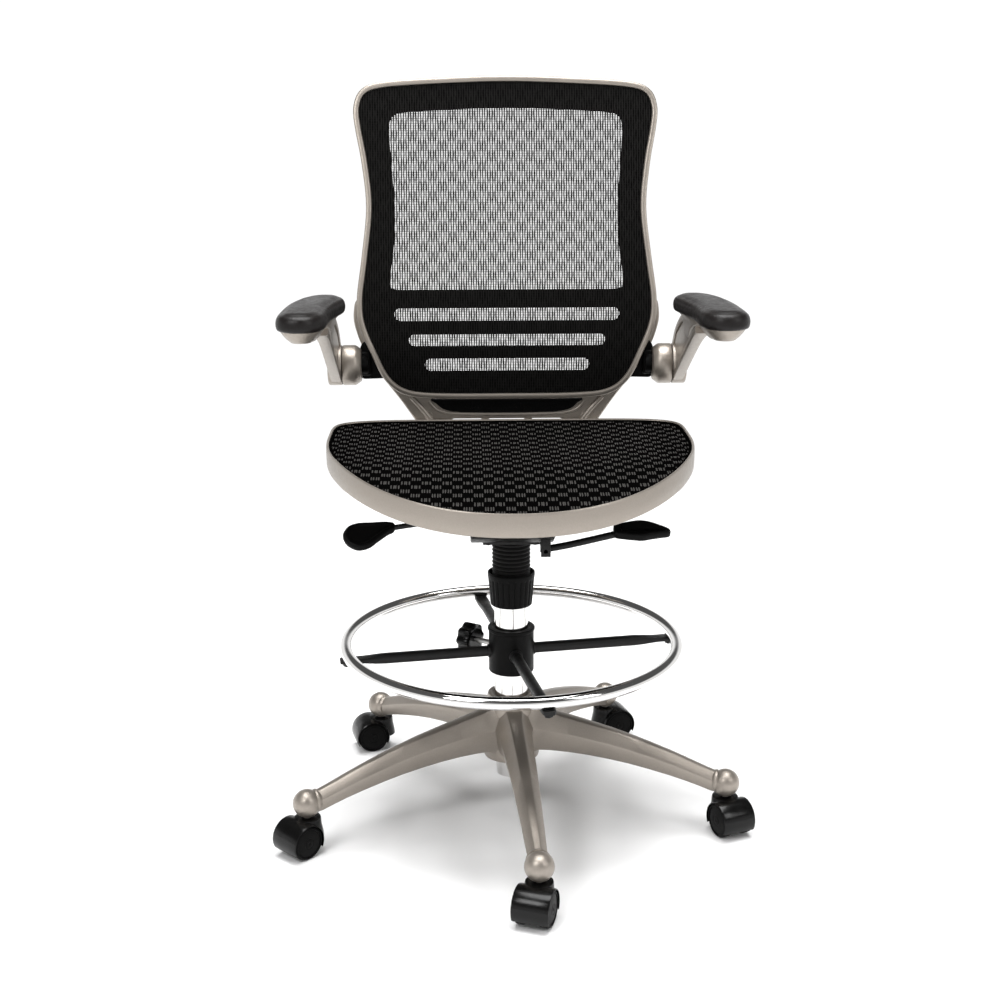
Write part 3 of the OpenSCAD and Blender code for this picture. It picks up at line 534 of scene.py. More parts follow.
def base_leg():
    """One tapering leg towards the front, creased along its sides and hollow underneath."""
    stations = [(24, 68, 113, 194), (34, 60, 118, 188), (46, 52, 121, 183), (62, 48.5, 121.5, 179),
                (90, 45.5, 120.5, 172.5), (120, 43, 118, 165.5), (150, 40.5, 114, 158), (180, 38, 109, 149.5),
                (210, 35.6, 102.5, 140), (240, 33, 95, 129.5), (265, 31, 88, 120), (285, 29.4, 81.5, 112),
                (302, 28, 75.5, 105.5), (312, 26.5, 73, 102), (318, 23, 74, 99)]
    rings = []
    for r, w, z0, z1 in stations:
        crease = lerp(z0, z1, 0.58)
        roof = lerp(z0, z1, lerp(0.5, 0.25, r / 290)) if 50 < r < 290 else z0 + 1
        foot, well = w * 0.34, w * 0.25
        section = [(-foot, z0), (-foot - 1.5, z0 + 2), (-w / 2, crease - 1), (-w / 2 + 0.3, crease + 1.5),
                   (-w * 0.2, z1 - 1.2), (-w * 0.13, z1), (w * 0.13, z1), (w * 0.2, z1 - 1.2),
                   (w / 2 - 0.3, crease + 1.5), (w / 2, crease - 1), (foot + 1.5, z0 + 2), (foot, z0),
                   (well, z0 + 0.2), (well - 1, roof), (1 - well, roof), (-well, z0 + 0.2)]
        rings.append([(x, -r, z) for x, z in section])
    return bevel(loft("leg", rings, SILVER, smooth_angle=28), 1.1, 2, 28)


def ball_end():
    """The ball at a leg's tip, cut flat below with a shallow recess round the caster's stem."""
    low = math.asin((BALL_Z - BALL_CUT) / BALL_R)
    profile = [(5.6, BALL_CUT + 0.6), (6.2, BALL_CUT)]
    edge_r = BALL_R * math.cos(low)
    profile += [(max(edge_r - 1.5, 6.4), BALL_CUT), (edge_r + 1.6, BALL_CUT + 0.7)]
    profile += [(BALL_R * math.cos(math.radians(a)), BALL_Z + BALL_R * math.sin(math.radians(a)))
                for a in range(-62, 91, 8)]
    profile[-1] = (0, BALL_Z + BALL_R - 0.1)
    return move(revolve("ball", [(0, BALL_CUT + 0.6)] + profile, SILVER, 48), spot(0, -STEM_CIRCLE, 0))


def star_base():
    parts = []
    for k in range(5):
        leg, ball = base_leg(), ball_end()
        collar = loft("collar", [[(r * math.cos(a), -STEM_CIRCLE + y, 88 + r * 0.98 * math.sin(a))
                                  for a in angles(40)]
                                 for r, y in ((14.6, 19), (16.6, 16), (17.2, 13.4), (16.4, 11.4))], SILVER)
        for piece in (leg, ball, collar):
            move(piece, turn(BASE_YAW + 72 * k))
            parts.append(piece)
    hub = [(25.3, 105), (38, 105), (41, 106), (41.7, 108.5), (36.2, 196), (35.9, 201), (35, 204.2), (33, 205),
           (29.5, 205.2), (28.2, 204.4), (27.6, 202.8), (25.3, 202.6)]
    parts.append(revolve("hub", closed(hub), SILVER, 96))
    return finish_piece(joined("base_casting", parts), "base", "silver_cast", "star_base")


def caster(k):
    a = math.radians(BASE_YAW + 72 * k)
    place = spot(STEM_CIRCLE * math.sin(a), -STEM_CIRCLE * math.cos(a), 0) @ turn(CASTER_SWIVEL[k])
    axle = spot(0, -CASTER_TRAIL, WHEEL_R)
    caster_hood(k, place, axle)
    caster_pins(k, place, axle)
    caster_wheels(k, place, axle)


def caster_hood(k, place, axle):
    """A T section carried round the wheels, open at the sides, on a round neck."""
    section = [(-26, 26.1), (-25.2, 27.0), (-23, 27.5), (-9, 27.9), (9, 27.9), (23, 27.5), (25.2, 27.0),
               (26, 26.1), (26, 25.8), (8.6, 25.7), (7.6, 24), (7.6, 6), (-7.6, 6), (-7.6, 24), (-8.6, 25.7),
               (-26, 25.8)]
    rings = []
    for i in range(49):
        t = math.radians(lerp(-27, 207, i / 48))
        rings.append([(x, r * math.cos(t), r * math.sin(t)) for x, r in section])
    shell = move(loft("shell", rings, GLOSS, smooth_angle=32), axle)
    core = move(move(revolve("core", [(0, -8.2), (7.5, -8.2), (8.6, -7), (8.6, 7), (7.5, 8.2), (0, 8.2)],
                             NYLON, 32),
                     TO_X), axle)
    neck = [(0, 24), (23, 24), (22, 32), (20.6, 39), (19.8, 44), (19.5, 51.4), (18.9, 53), (17.4, 53.5),
            (7, 53.5), (6.2, 52.8), (0, 52.8)]
    neck = revolve("neck", neck, GLOSS, 48)
    hood = joined(f"caster_{k + 1}_hood", [shell, core, neck])
    move(hood, place)
    finish_piece(hood, f"caster_{k + 1}", "black_gloss", f"caster_hood_{k + 1}")


def caster_pins(k, place, axle):
    stem = revolve("stem", [(0, 30), (5, 30), (5.5, 30.6), (5.5, 83.4), (5, 84), (0, 84)], ZINC, 24)
    shaft = move(move(revolve("shaft", [(0, -22), (3.6, -22), (4, -21.6), (4, 21.6), (3.6, 22), (0, 22)],
                              ZINC, 24),
                      TO_X), axle)
    pins = move(joined(f"caster_{k + 1}_pins", [stem, shaft]), place)
    finish_piece(pins, f"caster_{k + 1}", "plain_steel", f"caster_pins_{k + 1}")


def caster_wheels(k, place, axle):
    """A pair of wheels: rounded tread, domed disc with a hub cap, and a plain inner face."""
    tread = [(4.1, 9.5), (21, 9.5), (23.4, 10), (24.6, 11.2), (25, 13), (25, 20.6), (24.7, 22.6),
             (23.7, 24.1), (22.2, 24.9), (21.2, 25), (20.8, 24.6), (20.6, 23.4)]
    disc = [(20.4, 23.3), (20, 23.8), (17, 24.3), (12, 24.75), (8.2, 24.95), (7.6, 24.5), (7.1, 24.4),
            (6.6, 24.8), (5.6, 25), (2.4, 25), (1.6, 24.3), (0, 24.2)]
    parts = []
    for side in (-1, 1):
        profile = [(r, side * h) for r, h in tread]
        parts.append(revolve("tread", profile, NYLON, 72))
        parts.append(revolve("disc", [(r, side * h) for r, h in disc], GLOSS, 72))
        inner = [(r, side * h) for r, h in [(4.1, 9.5), (4.1, 24.2), (20.4, 23.2), (20.6, 23.4)]]
        parts.append(revolve("back", inner, NYLON, 48))
    wheels = joined(f"caster_{k + 1}_wheels", parts)
    move(wheels, place @ axle @ TO_X)
    finish_piece(wheels, f"wheels_{k + 1}", "black_nylon", f"caster_wheels_{k + 1}")


def dust_cup():
    steps = 20 * CUP_FLUTES
    outer = [(344, 29.6), (344.8, 30.6), (349, 31.2), (368, 32.8), (384, 34.1), (386, 34.3), (387, 34.6),
             (391, 34.9), (393.4, 34.7), (394, 34.2)]
    inner = [(394, 33.0), (392.5, 32.4), (371, 29.6), (370, 28.9), (370, 14.6), (357.5, 14.6), (357.5, 25),
             (344, 25)]
    profile = outer + inner
    rings = []
    for a in angles(steps):
        groove = CUP_GROOVE * (1 - abs(math.cos(CUP_FLUTES * a)) ** 0.5)
        ring = []
        for j, (z, r) in enumerate(profile):
            cut = groove if 2 <= j <= 4 else 0
            ring.append(((r - cut) * math.cos(a), (r - cut) * math.sin(a), z))
        rings.append(ring)
    cup = make("column_cup", [p for ring in rings for p in ring],
               grid_faces(steps, len(profile), True, True), NYLON, 40)
    finish_piece(cup, "base", "black_nylon", "dust_cup")


def bellows():
    z0, z1, folds = 370.2, 442.8, 12
    pitch = (z1 - z0) / folds
    outer, inner = [], []
    for i in range(folds * 6 + 1):
        t = i / 6
        crisp = (0.5 - 0.5 * math.cos(2 * math.pi * t)) ** 0.7
        outer.append((25.6 + 2.8 * crisp, z0 + pitch * t))
        inner.append((24.4 + 2.8 * crisp, z0 + pitch * t))
    top_lip = [(16, z1), (16, z1 - 1), (24.2, z1 - 1.2)]
    foot_lip = [(24.2, z0 + 1.2), (16, z0 + 1), (16, z0)]
    profile = outer + top_lip + inner[-4:3:-1] + foot_lip
    piece = revolve("column_bellows", closed(profile), RUBBER, 72, 50)
    move(piece, spot(0, 0, DATUM))
    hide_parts("dust_bellows")
    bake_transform(piece)


# ---------- foot ring ----------

def foot_ring():
    profile = [(RING_R + RING_TUBE * math.cos(a), RING_TUBE * math.sin(a)) for a in angles(28, 1)]
    ring = move(revolve("ring_hoop", profile, CHROME, 192), spot(0, 0, RING_Z))
    finish_piece(ring, "ring", "chrome_steel", "foot_ring")


def ring_hub():
    sleeve = [(25.3, 240), (31.6, 240), (33, 240.6), (33.6, 242), (33.6, 302.6), (33.9, 303.6), (34.8, 304.4),
              (35.1, 305.6), (34.9, 308), (33.8, 309), (28.8, 309), (27.8, 308.2), (25.3, 308)]
    finish_piece(revolve("ring_hub", closed(sleeve), NYLON, 96), "ring", "black_nylon", "ring_sleeve")


def ring_spokes():
    """Four round bars that flatten into tabs under the hoop, each with a collar and a bolt head."""
    parts, bolts = [], []
    for i in range(4):
        around = turn(RING_YAW + 90 * i)
        bar = []
        for x, ry, rz, zc in [(29, 8, 8, SPOKE_Z), (33, 8, 8, SPOKE_Z), (190, 8, 8, SPOKE_Z),
                              (204, 8.6, 6.6, SPOKE_Z), (216, 9.8, 4.2, 272.2), (224, 10.2, 3.4, 272.4),
                              (248, 10, 3.4, 272.5), (253, 9, 3.3, 272.5), (255.5, 7, 3, 272.5)]:
            e = 2.2 if x < 200 else lerp(2.2, 5, min(1, (x - 200) / 18))
            ring_points = []
            for a in angles(28):
                ring_points.append((x, ry * power(math.cos(a), e), zc + rz * power(math.sin(a), e)))
            bar.append(ring_points)
        parts.append(move(loft("spoke", bar, COAT, smooth_angle=40), around))
        collar = revolve("collar", [(0, 0), (9.4, 0), (10, 1), (10, 4), (9.4, 5), (0, 5)], COAT, 32)
        parts.append(move(collar, around @ spot(30.5, 0, SPOKE_Z) @ TO_X))
        for sides, r, z0, z1 in ((6, 6.2, 264, 268.6), (24, 7, 268.4, 269.4)):
            head = revolve("head", [(0, z0), (r - 0.8, z0), (r, z0 + 0.6), (r, z1 - 0.2), (0, z1)], COAT,
                           sides, 20)
            bolts.append(move(head, around @ spot(RING_R, 0, 0)))
    finish_piece(joined("ring_spoke_set", parts), "ring", "black_steel", "ring_spokes")
    finish_piece(joined("ring_bolt_set", bolts), "ring", "black_steel", "ring_bolts")


def ring_knob():
    lobes, rings = 8, []
    for x, scale, depth in [(64.4, 0.2, 0), (64.2, 0.62, 0), (64, 0.84, 1), (65.2, 0.96, 1), (67, 1, 1),
                            (81, 1, 1), (84, 0.97, 1), (85.6, 0.9, 1), (86, 0.8, 0.8), (85.8, 0.62, 0.3),
                            (84.6, 0.52, 0), (84.4, 0.2, 0)]:
        ring_points = []
        for a in angles(96):
            r = (22.6 + depth * 1.7 * math.cos(lobes * a)) * scale
            ring_points.append((x, r * math.cos(a), r * math.sin(a)))
        rings.append(ring_points)
    knob = loft("ring_knob_cap", rings, GLOSS, smooth_angle=50)
    move(knob, turn(KNOB_ANGLE) @ spot(0, 0, KNOB_Z))
    finish_piece(knob, "ring_knob", "black_gloss", "clamp_knob")


# ---------- under the seat ----------

def house_top(y):
    return HOUSE_TOP - max(0, y - HOUSE_SLOPE_Y) * math.tan(math.radians(HOUSE_SLOPE))


def tilt_housing():
    outline = [(-85, 471), (-82, 467.6), (-44, 450.6), (-38, 449), (86, 449), (90, 453),
               (90, house_top(90) - 2), (86, house_top(86)), (HOUSE_SLOPE_Y, HOUSE_TOP), (-71, HOUSE_TOP),
               (-79, 496), (-85, 488)]
    box = prism("mechanism_box", outline, -HOUSE_HALF, HOUSE_HALF, (1, 2, 0), COAT)
    bevel(box, 3, 3, 30)
    parts = [box]
    for y, z in ((-62, 474), (62, 460), (-8, 462)):
        for side in (-1, 1):
            boss = revolve("boss", [(0, 0), (6.4, 0), (6, 1.4), (5.2, 2), (0, 2)], COAT, 24)
            parts.append(move(boss, spot(HOUSE_HALF * side, y, z) @ (TO_X if side > 0 else MIRROR_X @ TO_X)))
    for side in (-1, 1):
        rib = prism("rib", [(-82, 484), (-30, 484), (80, 458), (80, 454), (-30, 480), (-82, 480)],
                    HOUSE_HALF * side, (HOUSE_HALF + 1.4) * side, (1, 2, 0), COAT)
        parts.append(rib)
    for (x, y, _), z0 in ((HEIGHT_PIVOT, 449), (TILT_PIVOT, 437)):
        for s in (-1, 1):
            ear = prism("ear", [(x - 7, z0), (x + 7, z0), (x + 7, 464), (x - 7, 464)],
                        y + s * 11.5 - 2.5, y + s * 11.5 + 2.5, (0, 2, 1), COAT)
            parts.append(bevel(ear, 1, 2))
    ring = revolve("spigot", closed([(13.9, 443), (20, 443), (21, 444), (21, 449.5), (13.9, 449.5)]), COAT,
                   48)
    parts.append(ring)
    finish_piece(joined("mechanism_box", parts), "mechanism", "black_steel", "tilt_housing")


def socket_plate():
    plate = prism("mechanism_plate", [(-42, -32), (42, -32), (42, 32), (-42, 32)], 443.2, 449, (0, 1, 2),
                  COAT)
    bevel(plate, 1.2, 2)
    screws = [plate]
    for x in (-34, 34):
        for y in (-24, 24):
            head = revolve("head", [(0, 441.6), (3.6, 441.6), (4.6, 442.4), (4.6, 443.4), (0, 443.4)],
                           BRIGHT_ZINC, 24)
            screws.append(move(head, spot(x, y, 0)))
    finish_piece(joined("mechanism_plate", screws), "mechanism", "zinc_plate", "socket_plate")


def outline_two_circles(a, ra, b, rb, waist=0.0, steps=28):
    """Outline round two circles. waist pulls the two long sides in, as a share of their width."""
    head = math.atan2(b[1] - a[1], b[0] - a[0])
    length = math.dist(a, b)
    opening = math.acos((ra - rb) / length)
    ring = []
    for i in range(steps + 1):
        t = head + opening + (2 * math.pi - 2 * opening) * i / steps
        ring.append((a[0] + ra * math.cos(t), a[1] + ra * math.sin(t)))
    side_steps = 10

    def straight(p, q):
        for i in range(1, side_steps):
            t = i / side_steps
            x, y = lerp(p[0], q[0], t), lerp(p[1], q[1], t)
            mx, my = lerp(a[0], b[0], t), lerp(a[1], b[1], t)
            pull = waist * math.sin(math.pi * t) ** 2
            ring.append((lerp(x, mx, pull), lerp(y, my, pull)))

    low = head - opening
    start_b = (b[0] + rb * math.cos(low), b[1] + rb * math.sin(low))
    straight(ring[-1], start_b)
    for i in range(steps // 2 + 1):
        t = low + 2 * opening * i / (steps // 2)
        ring.append((b[0] + rb * math.cos(t), b[1] + rb * math.sin(t)))
    straight(ring[-1], ring[0])
    return ring


def rounded_rings(outline, steps):
    """Insets an outline by the given (distance, height) steps."""
    return [[(x, y, z) for x, y in inset(outline, d)] for d, z in steps]


def lever_hub(x, y, z):
    hub = move(revolve("hub", [(0, -8.4), (6.4, -8.4), (7, -7.8), (7, 7.8), (6.4, 8.4), (0, 8.4)], COAT, 32),
               TO_Y)
    return move(hub, spot(x, y, z))


def height_lever():
    """A bar with a spoon-shaped paddle tipped towards the front."""
    path = [(-38, 0, 479), (-60, 0, 476.6), (-95, 0, 472.6), (-130, 0, 468), (-168, 0, 462.4), (-176, 0, 461)]
    bar = sweep("height_lever_bar", spline(path, 4, False), 4, COAT)
    actuator = prism("actuator", [(-48, 478), (4, 486.2), (4, 489.2), (-48, 489.2)], -4, 4, (0, 2, 1), COAT)
    bevel(actuator, 0.8, 2)
    finish_piece(joined("height_lever_bar", [bar, lever_hub(*HEIGHT_PIVOT), actuator]), "raise_lever",
                 "black_steel", "height_lever")
    outline = spline([(11, 0), (8, 8), (-6, 11.4), (-24, 11), (-44, 9.6), (-58, 2), (-65, -14), (-59, -30),
                      (-43, -39.4), (-26, -35), (-13, -23), (0, -11.5), (8, -7)], 6)
    crown = [(7, -5.2), (2.8, -5.4), (0.7, -4.2), (0, -1.6), (0.1, 1.2), (0.9, 3.4), (2.6, 4.9), (4.6, 5.4),
             (6.4, 5.0), (8, 4.2), (9.6, 3.8)]
    paddle = loft("height_lever_paddle", rounded_rings(outline, crown), NYLON, smooth_angle=55)
    bend(paddle, lambda x, y, z: (x, y, z + 0.0016 * (x + 30) ** 2 - 1.2))
    move(paddle, spot(-180, 0, 461) @ turn(LEVER_TIP, "X"))
    finish_piece(paddle, "raise_lever", "black_nylon", "height_paddle")


def tilt_lever():
    """A bar with a flat grip that has three ridges near its root."""
    path = [(50, -60, 445.6), (80, -60, 451), (120, -60, 460), (150, -60, 467), (166, -60, 471)]
    bar = sweep("tilt_lever_bar", spline(path, 4, False), 5, COAT)
    finish_piece(joined("tilt_lever_bar", [bar, lever_hub(*TILT_PIVOT)]), "lock_lever", "black_steel",
                 "tilt_lever")
    outline = spline([(-20, -9), (-6, -12.5), (8, -14.6), (20, -15.4), (32, -13), (46, -10.5), (57, -8.6),
                      (60, -4), (56, 2), (44, 8.6), (30, 14.8), (16, 17), (0, 14.4), (-12, 11.4), (-20, 10),
                      (-21.4, 0)], 6)
    crown = [(6, -6.2), (2.2, -6.4), (0.5, -5.2), (0, -2.4), (0.1, 2.4), (0.9, 4.8), (2.6, 6.2), (4.4, 6.5),
             (5.8, 6.1), (7, 5.6)]
    grip = loft("tilt_lever_grip", rounded_rings(outline, crown), NYLON, smooth_angle=55)
    ridges = [grip]
    for x in (-15, -11.5, -8):
        ridges.append(loft("ridge", [[(x + 0.8 * math.cos(a), y, 6.2 + 0.8 * math.sin(a))
                                      for a in angles(10)] for y in (-7, 0, 8)], NYLON))
    grip = joined("tilt_lever_grip", ridges)
    move(grip, spot(165, -60, 471) @ turn(LEVER_TIP, "X"))
    finish_piece(grip, "lock_lever", "black_nylon", "tilt_grip")


def sweep(name, path, radius, material, steps=20):
    """A round bar along a path, closed at both ends."""
    rings = []
    for i, p in enumerate(path):
        a, b = Vector(path[max(i - 1, 0)]), Vector(path[min(i + 1, len(path) - 1)])
        along = (b - a).normalized()
        side = along.cross(Vector((0, 0, 1)) if abs(along.z) < 0.9 else Vector((0, 1, 0))).normalized()
        up = side.cross(along)
        rings.append([tuple(Vector(p) + side * radius * math.cos(t) + up * radius * math.sin(t))
                      for t in angles(steps)])
    return loft(name, rings, material, smooth_angle=50)


# ---------- seat ----------

def seat_outline(steps=60):
    ring = []
    for i in range(steps + 1):
        t = math.pi + math.pi * i / steps
        ring.append((SEAT_HALF * power(math.cos(t), SEAT_FRONT_E),
                     SEAT_MID + SEAT_FRONT * power(math.sin(t), SEAT_FRONT_E)))
    for i in range(1, steps):
        t = math.pi * i / steps
        ring.append((SEAT_HALF * power(math.cos(t), SEAT_REAR_E),
                     SEAT_MID + SEAT_REAR * power(math.sin(t), SEAT_REAR_E)))
    return even(ring, 220)


def even(ring, count):
    """Spaces the points of a ring evenly along it."""
    lengths = [0.0]
    for a, b in zip(ring, ring[1:] + ring[:1]):
        lengths.append(lengths[-1] + math.dist(a, b))
    out, j = [], 0
    for i in range(count):
        target = lengths[-1] * i / count
        while lengths[j + 1] < target:
            j += 1
        a, b = ring[j], ring[(j + 1) % len(ring)]
        t = (target - lengths[j]) / ((lengths[j + 1] - lengths[j]) or 1)
        out.append((lerp(a[0], b[0], t), lerp(a[1], b[1], t)))
    return out


def seat_z(y):
    """Height of the seat's upper edge, which bends down towards the front."""
    return SEAT_TOP - SEAT_DROP * (max(0, SEAT_BEND_Y - y) / SEAT_BEND_RUN) ** SEAT_BEND_E


def band_height(y):
    return lerp(BAND_FRONT, BAND_REAR, min(1, max(0, (y - BAND_Y) / BAND_RUN)))


def round_outline(name, outline, section, top, material, smooth_angle=35):
    """Carries a section of (inward distance, depth below top) round an outline in the XY plane."""
    insets = {d: inset(outline, d) for d, _ in section(0)}
    rings = []
    for i, (x, y) in enumerate(outline):
        ring = []
        for d, h in section(y):
            px, py = insets[d][i]
            ring.append((px, py, top(y) - h))
        rings.append(ring)
    return loft(name, rings, material, closed=True, smooth_angle=smooth_angle)


def seat():
    outline = seat_outline()

    def section(y):
        b = band_height(y)
        low = min(28, b - 1.5)
        return [(1.2, 0), (2.6, 0.05), (3.7, 0.7), (4.1, 1.8), (4.3, 8.6), (8, 9), (21, 9.2), (22, 10.4),
                (21.4, 14), (13, low - 1.5), (11, low), (5.2, low + 0.4), (4.7, b - 1.2), (3.9, b - 0.2),
                (2, b), (0.9, b - 0.7), (0.3, b - 2.4), (0, b * 0.5), (0.05, 3), (0.35, 1)]
    frame_piece = round_outline("seat_band", outline, section, seat_z, SILVER)
    finish_piece(frame_piece, "seat", "silver_shell", "seat_frame")

    def welt_section(y):
        """The black welt is pressed in between the lip and the weave."""
        return [(4.2, 8.0), (4.2, 2.6), (5.0, 1.7), (6.4, 1.5), (7.8, 2.2), (8.4, 3.6), (8.4, 8.0)]

    welt = round_outline("seat_welt", outline, welt_section, seat_z, SEAT_BASE, 50)
    finish_piece(welt, "seat", "seat_fabric")
    return outline, welt


def sag(x, y):
    """How far the stretched seat weave hangs below a straight surface."""
    u = min(1, abs(x) / SAG_HALF)
    v = min(1, abs(y - SAG_Y) / SAG_RUN)
    return SAG * (1 - u ** SAG_E) * (1 - v ** SAG_E)


def seat_surface(x, y):
    return seat_z(y) - WEAVE_DEPTH - sag(x, y)


def crossings(ring, axis, value):
    """Sorted positions where a ring crosses a line of constant x (axis 0) or y (axis 1)."""
    found = []
    for a, b in zip(ring, ring[1:] + ring[:1]):
        p, q = a[axis], b[axis]
        if (p <= value < q) or (q <= value < p):
            t = (value - p) / (q - p)
            found.append(lerp(a[1 - axis], b[1 - axis], t))
    return sorted(found)


def weave_ground(edge):
    """The sheet under the floats, with fine ribs from front to rear."""
    points, faces = [], []
    half = SEAT_HALF - WEAVE_INSET
    columns = int(2 * half / RIB_PITCH)
    rows = 92
    previous = None
    for i in range(columns + 1):
        x = -half + 2 * half * i / columns
        found = crossings(edge, 0, x)
        if len(found) < 2:
            previous = None
            continue
        low, high = found[0], found[-1]
        start = len(points)
        rib = RIB_HEIGHT * (1 if i % 3 else -1)
        for top in (True, False):
            for j in range(rows + 1):
                y = lerp(low, high, j / rows)
                z = seat_surface(x, y)
                points.append((x, y, z + rib if top else z - WEAVE_T))
        if previous is not None:
            n = rows + 1
            for side in (0, n):
                for j in range(rows):
                    a, b = previous + side + j, start + side + j
                    quad = (a, b, b + 1, a + 1)
                    faces.append(quad if side == 0 else quad[::-1])
            faces.append((previous, previous + n, start + n, start))
            faces.append((previous + rows, start + rows, start + n + rows, previous + n + rows))
        previous = start
    return make("seat_weave", points, faces, SEAT_BASE, 60)


def weave_floats(inside):
    """Short raised threads in groups of four, laid in checks over the ground; their yarn is lighter than the
    ground, a painted highlight.
    """
    dash_points, dash_faces = [], []
    rng = random.Random(11)
    cross = [(-1.05, 0.1), (-0.75, 0.75), (0, 1.0), (0.75, 0.75), (1.05, 0.1)]
    along = [(0, -0.7), (0.10, 0.35), (0.3, 0.95), (0.5, 1.05), (0.7, 0.95), (0.9, 0.35), (1, -0.7)]
    for row in range(-16, 34):
        y0 = row * CHECK_L + SAG_Y
        for column in range(-20, 20):
            if (row + column) % 2:
                continue
            x0 = column * CHECK_W
            offsets = (1.9, 5.0, 8.9, 12.0) if row % 4 < 2 else (1.9, 5.9, 8.1, 12.1)
            for offset in offsets:
                x = x0 + offset
                found = crossings(inside, 0, x)
                if len(found) < 2:
                    continue
                low = max(y0 + FLOAT_GAP, found[0])
                high = min(y0 + CHECK_L - FLOAT_GAP, found[-1])
                if high - low < 2.5:
                    continue
                lift = rng.uniform(0.9, 1.1)
                first = len(dash_points)
                for t, height in along:
                    y = lerp(low, high, t)
                    taper = 0.55 if t in (0, 1) else (0.85 if t in (0.10, 0.9) else 1)
                    for dx, dz in cross:
                        px = x + dx * taper
                        dash_points.append((px, y, seat_surface(px, y) + 0.15 + dz * height * lift))
                dash_faces += grid_faces(len(along), len(cross), False, False, first)
    return make("seat_weave_floats", dash_points, dash_faces, SEAT_YARN_PAINTED_HIGHLIGHT, 70)


def seat_weave(outline):
    """The seat's woven sheet: ribbed ground, and floats laid over it in checks."""
    edge = inset(outline, WEAVE_INSET)
    ground = weave_ground(edge)
    floats = weave_floats(inset(outline, FLOAT_INSET))
    finish_piece(ground, "seat", "seat_fabric", "seat_mesh")
    finish_piece(floats, "seat", "seat_fabric")


def seat_under():
    parts = []
    for y0, reach in ((-55, 238), (90, 256)):
        rise = SEAT_TOP - band_height(y0)
        lift = min(28, band_height(y0))
        half = [(150, 515), (reach, rise - 10), (reach, SEAT_TOP - lift), (reach - 35, SEAT_TOP - lift),
                (140, 527)]
        outline = half + [(-x, z) for x, z in reversed(half)]
        rail = prism("rail", outline, y0, y0 + 30, (0, 2, 1), COAT)
        parts.append(bevel(rail, 2.2, 3))
    finish_piece(joined("seat_rail_pair", parts), "seat", "black_steel", "seat_rails")
    plate = prism("seat_plate_top", [(-80, -80), (80, -80), (80, 125), (-80, 125)], 511, 515, (0, 1, 2), COAT)
    parts = [bevel(plate, 1.5, 2)]
    for side in (-1, 1):
        cheek = [(TILT_Y - 17, 512), (TILT_Y - 17, 492), (TILT_Y - 12, 483), (TILT_Y, 480),
                 (TILT_Y + 12, 483), (TILT_Y + 17, 492), (TILT_Y + 17, 512)]
        x = 60.5 * side
        parts.append(bevel(prism("cheek", cheek, min(x, x + 4 * side), max(x, x + 4 * side), (1, 2, 0), COAT),
                           0.8, 2))
    finish_piece(joined("seat_plate_top", parts), "seat", "black_steel", "seat_plate")


# ---------- back ----------

BACK_HALF = [(0, 612), (110, 613), (160, 620), (190, 643), (211, 686), (228, 730), (231, 770), (223, 830),
             (215, 905), (221, 970), (231, 1025), (233, 1055), (222, 1080), (190, 1092), (100, 1098),
             (0, 1101)]
WINDOW_HALF = [(0, 781), (140, 781), (172, 782), (180, 786), (181, 792), (179, 812), (174, 850), (172, 900),
               (176, 960), (180, 1015), (179, 1032), (172, 1043), (155, 1047), (110, 1050), (0, 1054)]
SLOTS = ((175, 734, 756), (153, 695, 716), (129, 656, 678))


def lean(z):
    """Depth of the back's front face at a height."""
    above = min(1, max(0, (z - WAIST_Z) / BACK_RISE))
    below = min(1, max(0, (WAIST_Z - z) / BACK_DROP))
    return WAIST_Y + LEAN_ABOVE * above ** 1.35 + LEAN_BELOW * below ** 1.5


def stadium(half, z0, z1, steps=10):
    r = (z1 - z0) / 2
    ring = []
    for side in (1, -1):
        for i in range(steps + 1):
            a = math.pi * (i / steps - 0.5)
            ring.append((side * (half - r + r * math.cos(a)), (z0 + z1) / 2 + side * r * math.sin(a)))
    return ring


def band_on_back(name, outline, section, material):
    """Carries a section of (inward distance, depth behind the front face) round an outline on the back."""
    insets = {d: inset(outline, d) for d, _ in section}
    rings = []
    for i in range(len(outline)):
        ring = []
        for d, h in section:
            x, z = insets[d][i]
            ring.append((x, lean(z) + h, z))
        rings.append(ring)
    return loft(name, rings, material, closed=True, smooth_angle=40)


def back_rim():
    outline = even(spline(mirrored(BACK_HALF), 6), 260)
    section = [(0.0, 4), (0.05, -0.4), (0.6, -2.1), (2.0, -2.95), (6.2, -3), (7.8, -2.4), (8.7, -0.8),
               (9, 1.5), (9, 13.6), (8.2, 14.7), (6.8, 15), (2.0, 15), (0.7, 14.2), (0.1, 12.6)]
    rim = band_on_back("back_rim", outline, section, SILVER)
    finish_piece(rim, "seat", "silver_shell", "back_frame")
    return outline


def back_panel(outline):
    """The moulded sheet with its window and slots, seen through the mesh and from behind."""
    levels = range(600, 1110, 14)
    window = even(spline(mirrored(WINDOW_HALF), 6), 200)
    plate = flat_slab("back_panel_sheet", [inset(outline, 8.7), window] + [stadium(*s) for s in SLOTS], 6,
                      1.0, PANEL)
    move(plate, spot(0, PANEL_Y, 0) @ UPRIGHT)
    slice_across(plate, 2, levels)
    bend(plate, lambda x, y, z: (x, y + lean(z), z))
    tidy(plate)
    # Raised lip round the window
    lip_section = [(-5, 7), (-5, 9.2), (-4, 10), (-1.2, 10), (-0.4, 9.2), (-0.4, 7)]
    lip = band_on_back("lip", window, lip_section, PANEL)
    finish_piece(joined("back_panel_sheet", [plate, lip]), "seat", "black_nylon", "back_panel")


